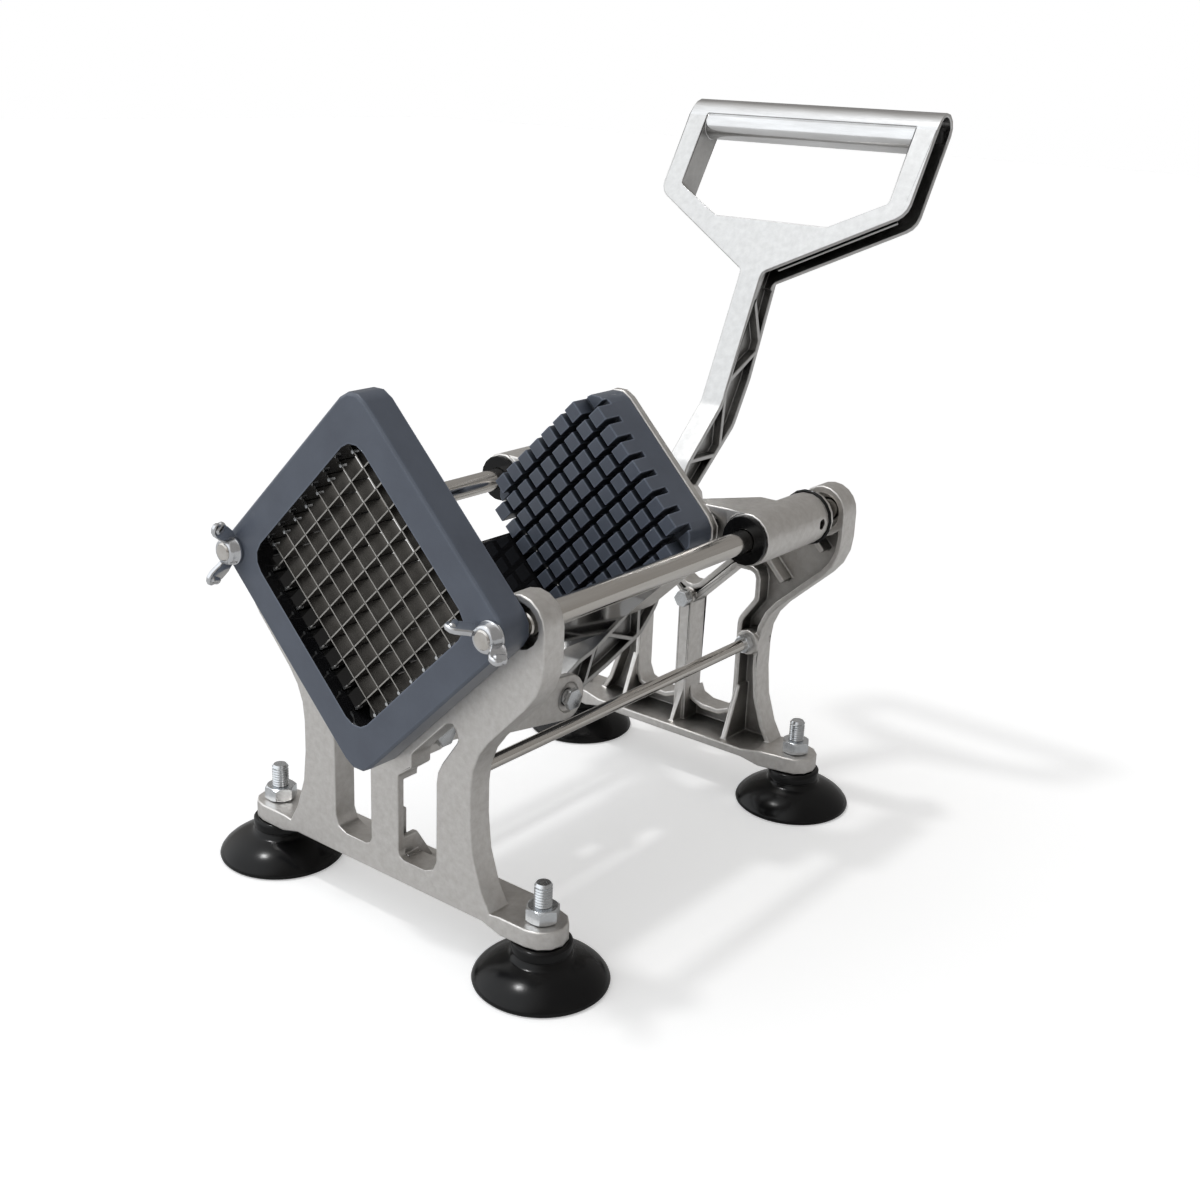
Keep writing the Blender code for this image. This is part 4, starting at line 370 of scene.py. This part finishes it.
polished = metal("polished_steel", POLISHED_LIGHT, POLISHED_DARK, patch=0.006, grain=0.0008,
                 height=0.00001, roughness=(0.08, 0.17), stretch=(1.0, 0.05, 1.0))
for side in ("left", "right"):
    low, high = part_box("guide_rod_" + side)
    centre = ((low.x + high.x) / 2, (low.z + high.z) / 2)
    bm = bmesh.new()
    front = threads(low.y + CHAMFER, ROD_FRONT_SHOULDER, ROD_THREAD_RADIUS)
    rear = threads(high.y - CHAMFER, ROD_REAR_SHOULDER, ROD_THREAD_RADIUS)
    turned(bm, [(0.0, low.y), (ROD_THREAD_RADIUS - CHAMFER, low.y)] + front
           + [(ROD_THREAD_RADIUS, ROD_FRONT_SHOULDER), (ROD_RADIUS - CHAMFER, ROD_FRONT_SHOULDER),
              (ROD_RADIUS, ROD_FRONT_SHOULDER + CHAMFER), (ROD_RADIUS, ROD_REAR_SHOULDER - CHAMFER),
              (ROD_RADIUS - CHAMFER, ROD_REAR_SHOULDER), (ROD_THREAD_RADIUS, ROD_REAR_SHOULDER)]
           + rear[::-1] + [(ROD_THREAD_RADIUS - CHAMFER, high.y), (0.0, high.y)], "Y", centre)
    dressed(solid("polished_guide_rod_" + side, bm), "base", polished, "polished_steel", "guide_rod_" + side)

    low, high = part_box("tie_rod_" + side)
    bm = bmesh.new()
    turned(bm, [(0.0, low.y), (TIE_RADIUS - CHAMFER, low.y), (TIE_RADIUS, low.y + CHAMFER),
                (TIE_RADIUS, high.y - CHAMFER), (TIE_RADIUS - CHAMFER, high.y), (0.0, high.y)],
           "Y", ((low.x + high.x) / 2, (low.z + high.z) / 2))
    dressed(solid("polished_tie_rod_" + side, bm), "base", polished, "polished_steel", "tie_rod_" + side)


# Rod nuts: bright zinc-plated steel hexagons that hold the guide rods behind and the tie rods at both ends.
# Each has its corners turned off by a chamfer, and the feet are clamped by nuts of the same kind.
ZINC_LIGHT = (0.80, 0.82, 0.84)
ZINC_DARK = (0.66, 0.68, 0.70)
HEXAGON_CHAMFER = math.radians(30.0)
CHAMFER_REACH = 1.4
CROWN_SHARE = 0.96
FACET_ANGLE = math.radians(25.0)
HOLE_SEGMENTS = 32
QUARTER_TURN = math.pi / 2


def carved(piece, tool, operation):
    """Cut, keep or join a piece with a tool by an exact Boolean, and remove the tool."""
    step = piece.modifiers.new(operation.lower(), "BOOLEAN")
    step.operation = operation
    step.solver = "EXACT"
    step.object = tool
    result = bpy.data.meshes.new_from_object(piece.evaluated_get(bpy.context.evaluated_depsgraph_get()))
    piece.modifiers.clear()
    piece.data = result
    bpy.data.objects.remove(tool)
    return piece


def hexagon(name, node, hole, axis, body):
    """Zinc-plated hexagon over its CAD solid, with its corners turned off at both ends and a plain hole."""
    low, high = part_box(node)
    middle = (low + high) / 2
    across, along = {"X": ("y", "x"), "Y": ("x", "y"), "Z": ("x", "z")}[axis]
    corner_radius = (getattr(high, across) - getattr(low, across)) / 2
    flat_radius = corner_radius * math.cos(math.pi / 6)
    height = getattr(high, along) - getattr(low, along)
    crown_radius = flat_radius * CROWN_SHARE
    drop = (corner_radius - flat_radius) * math.tan(HEXAGON_CHAMFER) * CHAMFER_REACH
    stand = {"X": Matrix.Rotation(QUARTER_TURN, 4, "Y"), "Y": Matrix.Rotation(QUARTER_TURN, 4, "X"),
             "Z": Matrix.Identity(4)}[axis]
    bm = bmesh.new()
    bmesh.ops.create_cone(bm, segments=6, radius1=corner_radius, radius2=corner_radius, depth=height,
                          cap_ends=True, matrix=Matrix.Rotation(QUARTER_TURN, 4, "Z"))
    nut = solid(name, bm)
    bm = bmesh.new()
    half = height / 2
    turned(bm, [(0.0, -half), (crown_radius, -half), (corner_radius, drop - half),
                (corner_radius, half - drop), (crown_radius, half), (0.0, half)], "Z", (0.0, 0.0))
    carved(nut, solid("turned_corners", bm), "INTERSECT")
    if hole:
        bm = bmesh.new()
        turned(bm, [(0.0, -height), (hole, -height), (hole, height), (0.0, height)], "Z", (0.0, 0.0),
               HOLE_SEGMENTS)
        carved(nut, solid("threaded_hole", bm), "DIFFERENCE")
    nut.data.transform(Matrix.Translation(middle) @ stand)
    nut.data.shade_smooth()
    nut.data.set_sharp_from_angle(angle=FACET_ANGLE)
    return dressed(nut, body, zinc, "zinc_steel", node)


zinc = metal("zinc_plate", ZINC_LIGHT, ZINC_DARK, patch=0.004, grain=0.0006, height=0.00001,
             roughness=(0.18, 0.32))
for side in ("left", "right"):
    hexagon("rod_hexagon_" + side, "rod_nut_" + side, ROD_THREAD_RADIUS, "Y", "base")
    for end in ("front", "rear"):
        hexagon("tie_hexagon_" + end + "_" + side, "tie_nut_" + end + "_" + side, TIE_RADIUS, "Y", "base")


# Feet: a moulded rubber suction cup under each corner, with a zinc-plated stud moulded into its collar
# and a hexagon nut that clamps the stud to the frame's tab.
CUP_SHADE = (0.003, 0.003, 0.0035)
CUP_BLOOM = (0.006, 0.006, 0.006)
CUP_SHINE = 0.28
CUP_SMOOTH = math.radians(50.0)
CUP_SEGMENTS = 96
CUP_OUTSIDE = ((0.0273, 0.0), (0.0284, 0.0002), (0.0290, 0.0008), (0.0292, 0.0016), (0.0288, 0.0027),
               (0.0276, 0.0044), (0.0256, 0.0063), (0.0228, 0.0083), (0.0196, 0.0100), (0.0166, 0.0112),
               (0.0146, 0.0119), (0.0136, 0.0124), (0.0131, 0.0130), (0.0128, 0.0136), (0.0121, 0.0139),
               (0.0119, 0.0144), (0.0122, 0.0150), (0.0130, 0.0153), (0.0130, 0.0190), (0.0126, 0.0195),
               (0.0118, 0.0197), (0.0, 0.0197))
CUP_INSIDE = ((0.0, 0.0064), (0.0060, 0.0062), (0.0130, 0.0049), (0.0200, 0.0030), (0.0250, 0.0012),
              (0.0273, 0.0))
STUD_RADIUS = 0.0039
STUD_POINT = 1.5 * CHAMFER
STUD_SEGMENTS = 40

rubber = metal("black_rubber", CUP_BLOOM, CUP_SHADE, patch=0.010, grain=0.0006, height=0.00001,
               roughness=(0.15, 0.24), metallic=0.0)
rubber.node_tree.nodes["Principled BSDF"].inputs["Specular IOR Level"].default_value = CUP_SHINE
for corner in ("front_left", "front_right", "rear_left", "rear_right"):
    low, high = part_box("foot_stud_" + corner)
    centre = ((low.x + high.x) / 2, (low.y + high.y) / 2)
    bm = bmesh.new()
    turned(bm, list(CUP_INSIDE) + list(CUP_OUTSIDE), "Z", centre, CUP_SEGMENTS)
    dressed(solid("rubber_cup_" + corner, bm, CUP_SMOOTH), "base", rubber, "black_rubber",
            "suction_cup_" + corner)
    bm = bmesh.new()
    thread_end = high.z - CHAMFER * 2
    turned(bm, [(0.0, low.z), (STUD_RADIUS, low.z)] + threads(low.z + CHAMFER, thread_end, STUD_RADIUS)
           + [(STUD_RADIUS, thread_end), (STUD_RADIUS - STUD_POINT, high.z), (0.0, high.z)],
           "Z", centre, STUD_SEGMENTS)
    dressed(solid("threaded_stud_" + corner, bm), "base", zinc, "zinc_steel", "foot_stud_" + corner)
    hexagon("foot_hexagon_" + corner, "foot_nut_" + corner, STUD_RADIUS, "Z", "base")


# Blade box: a square frame moulded in satin slate-grey plastic, stood on its corner. The guide rods'
# threaded ends pass through its left and right corners, and the blades are held in it from behind.
SLATE_LIGHT = (0.112, 0.130, 0.166)
SLATE_DARK = (0.094, 0.109, 0.141)
BOX_EDGE = 0.0004
BOX_STEPS = 4
SHADED_WALL_HALF = 0.0473
SHADED_WALL_START = 0.0016
WALL_SLANT = 0.5
TROUGH_AND_WALL_SHADE_DARK = (0.007, 0.007, 0.008)
TROUGH_AND_WALL_SHADE_LIGHT = (0.014, 0.014, 0.015)
# The slate's outer edges are painted lighter, partly for wear and partly as painted highlight; its recesses
# take painted shade.
slate = metal("slate_plastic", SLATE_LIGHT, SLATE_DARK, patch=0.020, grain=0.0004, height=0.00001,
              roughness=(0.26, 0.36), metallic=0.0, edge_wear_and_light=2.3)
# This black gloss is the trough's own colour, and it is also painted shade on the walls inside the box's
# opening.
trough_black_and_wall_shade = metal("black_gloss_plastic", TROUGH_AND_WALL_SHADE_LIGHT, TROUGH_AND_WALL_SHADE_DARK, patch=0.030, grain=0.0010,
                    height=0.000002, roughness=(0.04, 0.08), metallic=0.0)
box_low, box_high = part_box("blade_box")
box_middle = (box_low + box_high) / 2


def paint_wall_shade(bm):
    """Mark the walls inside the box's opening for the black gloss that paints shade on them."""
    for face in bm.faces:
        spot = face.calc_center_median()
        rising = abs(spot.x + spot.z - box_middle.z) / math.sqrt(2.0)
        falling = abs(spot.x - spot.z + box_middle.z) / math.sqrt(2.0)
        inside = max(rising, falling) < SHADED_WALL_HALF
        if inside and spot.y > box_low.y + SHADED_WALL_START and abs(face.normal.y) < WALL_SLANT:
            face.material_index = 1


moulding = softened("moulded_blade_box", "blade_box", BOX_EDGE, BOX_STEPS, paint_wall_shade)
dressed(moulding, "base", slate, "slate_plastic", "blade_box")
# Painted shade: the walls inside the opening take the trough's black gloss in place of the shade that falls
# there.
moulding.data.materials.append(trough_black_and_wall_shade)


# Blades: thin rolled stainless strips on edge, eight each way, slotted half through so that they cross.
# A small bright pin holds each strip near both of its ends.
BLADE_LIGHT = (0.56, 0.545, 0.52)
BLADE_DARK = (0.43, 0.415, 0.39)
BLADES_EACH_WAY = 8
PIN_RADIUS = 0.0008
PIN_SEGMENTS = 10
PIN_STAND = 0.0007
PIN_LENGTH = 0.0030
PIN_INSET = 0.0042
# Painted shade: the blades are darkened deep in the cells, where they and the parts around them hem each
# other in.
strip_steel = metal("blade_steel", BLADE_LIGHT, BLADE_DARK, patch=0.010, grain=0.0006, height=0.00001,
                    roughness=(0.22, 0.36), painted_recess_shade=0.10, alone=False)
pins = bmesh.new()
for way, rise in (("falling", -1.0), ("rising", 1.0)):
    along = Vector((1.0, 0.0, rise)).normalized()
    for number in range(1, BLADES_EACH_WAY + 1):
        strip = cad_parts[f"blade_{way}_{number}"]
        strip.data.materials.clear()
        strip.data.materials.append(strip_steel)
        low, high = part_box(f"blade_{way}_{number}")
        middle = (low + high) / 2
        reach = (high.x - low.x) / math.sqrt(2.0) - PIN_INSET
        for end in (-1.0, 1.0):
            spot = middle + along * reach * end
            spot.y = low.y - PIN_STAND + PIN_LENGTH / 2
            lie = Matrix.Translation(spot) @ Matrix.Rotation(QUARTER_TURN, 4, "X")
            bmesh.ops.create_cone(pins, segments=PIN_SEGMENTS, radius1=PIN_RADIUS, radius2=PIN_RADIUS,
                                  depth=PIN_LENGTH, cap_ends=True, matrix=lie)
dressed(solid("blade_pins", pins), "base", zinc, "zinc_steel")


# Food trough: two walls of glossy black plastic that meet in a V. It stands against the box's back, and
# the pusher slides through it.
TROUGH_EDGE = 0.0006
TROUGH_LONGER = 0.0018
trough_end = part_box("potato_trough")[1].y


def reaching_back(bm):
    """Carry the trough's rear edge on under the pusher's slots."""
    for vertex in bm.verts:
        if vertex.co.y > trough_end - MERGE_DISTANCE:
            vertex.co.y += TROUGH_LONGER


walls = softened("glossy_trough", "potato_trough", TROUGH_EDGE, reshape=reaching_back)
dressed(walls, "base", trough_black_and_wall_shade, "black_gloss_plastic", "potato_trough")


# Carriage: an aluminium casting that slides on the guide rods by two bored sleeves. A black ring lies
# against each sleeve in front, and an O-ring sits in a groove behind.
CARRIAGE_EDGE = 0.0008
RING_EDGE = 0.0003
RING_STEPS = 2
casting = softened("cast_carriage", "carriage", CARRIAGE_EDGE)
dressed(casting, "carriage", cast, "cast_aluminium", "carriage")
for side in ("left", "right"):
    for node in ("sleeve_ring_" + side, "o_ring_" + side):
        ring = softened("rubber_" + node, node, RING_EDGE, RING_STEPS)
        dressed(ring, "carriage", rubber, "black_rubber", node)


# Pusher: a block of the same slate plastic, fixed to the carriage's front plate. Crossed slots leave one
# finger for each cell of the blades.
FINGER_EDGE = 0.00035
FINGER_STEPS = 2
block = softened("moulded_pusher", "pusher_block", FINGER_EDGE, FINGER_STEPS)
dressed(block, "carriage", slate, "slate_plastic", "pusher_block")


# Lever: one long aluminium casting. Its I-section is braced by crossed ribs, and it widens at the top into
# a D-handle whose grip is bright from use.
LEVER_LIGHT = (0.70, 0.695, 0.685)
LEVER_DARK = (0.61, 0.605, 0.595)
LEVER_EDGE = 0.0005
GRIP_LIGHT = (0.84, 0.84, 0.84)
GRIP_DARK = (0.66, 0.655, 0.65)
HANDLE_FOOT = Vector((0.0, 0.1155, 0.2655))
HANDLE_SLOPE = math.radians(59.4)
HANDLE_DEPTH = 0.0160
ROLL_HEIGHT = 0.0882
GRIP_HEIGHT = 0.0818
GRIP_RADIUS = 0.0076
NECK_BOTTOM = -0.0050
NECK_FADE = 0.067
NECK_STEP = 0.00229
NECK_FLANGE = 0.0024
NECK_HALF = 0.0064
NECK_WIDEST = 0.0066
BEAM_FRONT = -0.0090
ROLL_START = 0.0830
ROLL_SKIN = 0.0005
RIDGE = ((0.0120, 0.0019), (0.0690, 0.0346), (0.0640, 0.0412), (0.0340, 0.0252), (0.0120, 0.0150))
RIDGE_PLACE = -0.0060
RIDGE_THICKNESS = 0.0014
NEAR = 0.00012
up_handle = Vector((0.0, math.cos(HANDLE_SLOPE), math.sin(HANDLE_SLOPE)))
out_of_handle = Vector((0.0, -math.sin(HANDLE_SLOPE), math.cos(HANDLE_SLOPE)))


def flowing_neck(bm):
    """Bring the beam's front flange flush with the handle's face at the neck, round the start of the
    roll, mark the bright grip, and stand a thin ridge in each half of the handle's lower channel."""
    for vertex in bm.verts:
        offset = vertex.co - HANDLE_FOOT
        rise, out = offset.dot(up_handle), offset.dot(out_of_handle)
        at_bottom = abs(rise - NECK_BOTTOM) < NEAR
        if at_bottom and out > BEAM_FRONT:
            target = 0.0 if out > -NECK_STEP - NEAR / 2 else -NECK_FLANGE
            vertex.co += out_of_handle * (target - out)
        elif NECK_BOTTOM - NECK_FADE < rise < NECK_BOTTOM and out > BEAM_FRONT:
            share = 1.0 - (NECK_BOTTOM - rise) / NECK_FADE
            vertex.co += out_of_handle * NECK_STEP * share
        if at_bottom and NECK_HALF < abs(vertex.co.x) < NECK_WIDEST:
            vertex.co.x = math.copysign(NECK_HALF, vertex.co.x)
    bmesh.ops.bisect_plane(bm, geom=bm.verts[:] + bm.edges[:] + bm.faces[:], dist=MERGE_DISTANCE,
                           plane_co=HANDLE_FOOT + up_handle * ROLL_START, plane_no=up_handle)
    middle = HANDLE_DEPTH / 2
    for vertex in bm.verts:
        offset = vertex.co - HANDLE_FOOT
        rise, out = offset.dot(up_handle), offset.dot(out_of_handle)
        round_front = middle * math.sqrt(max(0.0, 1.0 - max(0.0, (rise - ROLL_HEIGHT) / middle) ** 2))
        if rise > ROLL_START and out > ROLL_SKIN - middle and abs(out + middle - round_front) < NEAR:
            share = min((rise - ROLL_START) / (ROLL_HEIGHT + middle - ROLL_START), 1.0)
            vertex.co += out_of_handle * (middle * math.sqrt(1.0 - share ** 2) - middle - out)
    for face in bm.faces:
        offset = face.calc_center_median() - HANDLE_FOOT
        rise, out = offset.dot(up_handle), offset.dot(out_of_handle) + middle
        if rise > ROLL_START or math.hypot(rise - GRIP_HEIGHT, out) < GRIP_RADIUS:
            face.material_index = 1
    for way in (-1.0, 1.0):
        foot = [bm.verts.new(HANDLE_FOOT + Vector((way * across, 0, 0)) + up_handle * rise
                             + out_of_handle * RIDGE_PLACE) for across, rise in RIDGE]
        risen = bmesh.ops.extrude_face_region(bm, geom=[bm.faces.new(foot)])
        moved = [item for item in risen["geom"] if isinstance(item, bmesh.types.BMVert)]
        bmesh.ops.translate(bm, verts=moved, vec=out_of_handle * RIDGE_THICKNESS)
    bmesh.ops.recalc_face_normals(bm, faces=bm.faces)


# Painted shade: the lever is darkened strongly in its pockets and painted darker along its outer edges,
# partly for wear; the grip takes painted shade in its recesses.
lever_cast = metal("lever_aluminium", LEVER_LIGHT, LEVER_DARK, patch=0.0035, grain=0.0006, height=0.00005,
                   roughness=(0.25, 0.38), painted_recess_shade=0.12, edge_wear_and_light=0.72)
worn_grip = metal("worn_aluminium", GRIP_LIGHT, GRIP_DARK, patch=0.006, grain=0.0007, height=0.00001,
                  roughness=(0.12, 0.22), stretch=(0.15, 1.0, 1.0), painted_recess_shade=0.4)
beam = softened("cast_lever", "lever", LEVER_EDGE, reshape=flowing_neck)
dressed(beam, "lever", lever_cast, "lever_aluminium", "lever")
beam.data.materials.append(worn_grip)


# Link: a short aluminium casting that holds the lever's lower end back to the front frame. It turns on
# zinc-plated steel pins, and those at its ends have hexagon heads.
LINK_EDGE = 0.0008
HEAD_RADIUS = 0.0056
HEAD_HEIGHT = 0.0030
HEAD_EDGE = 0.0004
BOLT_SEGMENTS = 40
arm = softened("cast_link", "link", LINK_EDGE)
dressed(arm, "link", cast, "cast_aluminium", "link")


def bolt(name, node, body, heads):
    """Steel pin over its CAD solid, with a hexagon head at each of the given ends."""
    low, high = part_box(node)
    centre = ((low.y + high.y) / 2, (low.z + high.z) / 2)
    radius = (high.z - low.z) / 2
    bm = bmesh.new()
    turned(bm, [(0.0, low.x), (radius - CHAMFER, low.x), (radius, low.x + CHAMFER),
                (radius, high.x - CHAMFER), (radius - CHAMFER, high.x), (0.0, high.x)],
           "X", centre, BOLT_SEGMENTS)
    for end in heads:
        across = (high.x if end > 0 else low.x) + end * HEAD_HEIGHT / 2
        lie = Matrix.Translation((across, *centre)) @ Matrix.Rotation(QUARTER_TURN, 4, "Y")
        head = bmesh.ops.create_cone(bm, segments=6, radius1=HEAD_RADIUS, radius2=HEAD_RADIUS,
                                     depth=HEAD_HEIGHT, cap_ends=True, matrix=lie)
        edges = list({edge for vertex in head["verts"] for edge in vertex.link_edges})
        bmesh.ops.bevel(bm, geom=edges, offset=HEAD_EDGE, segments=3, profile=0.5, affect="EDGES",
                        material=-1)
    dressed(solid(name, bm), body, zinc, "zinc_steel", node)


for node, body, heads in (("lever_pin", "carriage", ()), ("link_pin", "link", (-1, 1)),
                          ("frame_pin_left", "base", (-1,)), ("frame_pin_right", "base", (1,))):
    bolt("steel_" + node, node, body, heads)


# Wing nuts: bright-plated zinc castings that hold the box on the guide rods' front ends. Each has a ringed
# hub and two curved wings with a round bead at their tips, and each stands at its own turn.
BRIGHT_LIGHT = (0.80, 0.81, 0.83)
BRIGHT_DARK = (0.70, 0.71, 0.73)
HUB = ((0.0040, 0.0), (0.0064, 0.0), (0.0066, 0.0003), (0.0066, 0.0012), (0.0061, 0.0017),
       (0.0058, 0.0044), (0.0053, 0.0052), (0.0049, 0.0055), (0.0040, 0.0055))
HUB_SEGMENTS = 48
WING = ((0.0046, 0.0004), (0.0070, 0.0004), (0.0098, 0.0020), (0.0124, 0.0048), (0.0142, 0.0080),
        (0.0147, 0.0104), (0.0141, 0.0118), (0.0126, 0.0125), (0.0104, 0.0124), (0.0085, 0.0112),
        (0.0068, 0.0090), (0.0056, 0.0072), (0.0046, 0.0064))
WING_THICKNESS = 0.0026
WING_EDGE = 0.0008
WING_SMOOTH = math.radians(40.0)
WING_TURN = {"left": math.radians(78.0), "right": math.radians(-17.0)}
BEAD = ((0.0136, 0.0062), (0.0108, 0.0113))
BEAD_RADIUS = 0.0021
BEAD_END = BEAD_RADIUS * 0.7
BEAD_SEGMENTS = 16
RIM_FROM = math.radians(60.0)
RIM_STEPS = 4
bright = metal("bright_plate", BRIGHT_LIGHT, BRIGHT_DARK, patch=0.004, grain=0.0006, height=0.00002,
               roughness=(0.10, 0.20))
for side in ("left", "right"):
    low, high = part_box("wing_nut_" + side)
    rod_low, rod_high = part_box("guide_rod_" + side)
    axis = Vector(((rod_low.x + rod_high.x) / 2, high.y, (rod_low.z + rod_high.z) / 2))
    bm = bmesh.new()
    for way in (-1.0, 1.0):
        outline = [bm.verts.new((way * out, -forward, -WING_THICKNESS / 2)) for out, forward in WING]
        flat = bm.faces.new(outline)
        risen = bmesh.ops.extrude_face_region(bm, geom=[flat])
        moved = [item for item in risen["geom"] if isinstance(item, bmesh.types.BMVert)]
        bmesh.ops.translate(bm, verts=moved, vec=(0.0, 0.0, WING_THICKNESS))
    bmesh.ops.recalc_face_normals(bm, faces=bm.faces)
    rims = [edge for edge in bm.edges if edge.calc_face_angle(0.0) > RIM_FROM]
    bmesh.ops.bevel(bm, geom=rims, offset=WING_EDGE, segments=RIM_STEPS, profile=0.5, affect="EDGES",
                    material=-1)
    for way in (-1.0, 1.0):
        first, last = (Vector((way * out, -forward, 0.0)) for out, forward in BEAD)
        lean = (last - first).to_track_quat("Z", "Y").to_matrix().to_4x4()
        bead = bmesh.ops.create_cone(bm, segments=BEAD_SEGMENTS, radius1=BEAD_RADIUS, radius2=BEAD_RADIUS,
                                     depth=(last - first).length, cap_ends=True,
                                     matrix=Matrix.Translation((first + last) / 2) @ lean)
        ends = [edge for edge in {edge for vertex in bead["verts"] for edge in vertex.link_edges}
                if edge.calc_face_angle(0.0) > RIM_FROM]
        bmesh.ops.bevel(bm, geom=ends, offset=BEAD_END, segments=RIM_STEPS, profile=0.5, affect="EDGES",
                        material=-1)
    turned(bm, [(radius, -forward) for radius, forward in HUB] + [(HUB[0][0], 0.0)], "Y", (0.0, 0.0),
           HUB_SEGMENTS)
    nut = solid("plated_wing_nut_" + side, bm, WING_SMOOTH)
    nut.data.transform(Matrix.Translation(axis) @ Matrix.Rotation(-WING_TURN[side], 4, "Y"))
    dressed(nut, "wing_nut_" + side, bright, "bright_plate", "wing_nut_" + side)


# Stop screw: a small zinc-plated hexagon screw on the rear frame's column head, where the carriage stops
# at the back of its stroke.
SCREW_EDGE = 0.0003
SCREW_STEPS = 2
screw = softened("zinc_stop_screw", "stop_screw", SCREW_EDGE, SCREW_STEPS)
dressed(screw, "base", zinc, "zinc_steel", "stop_screw")
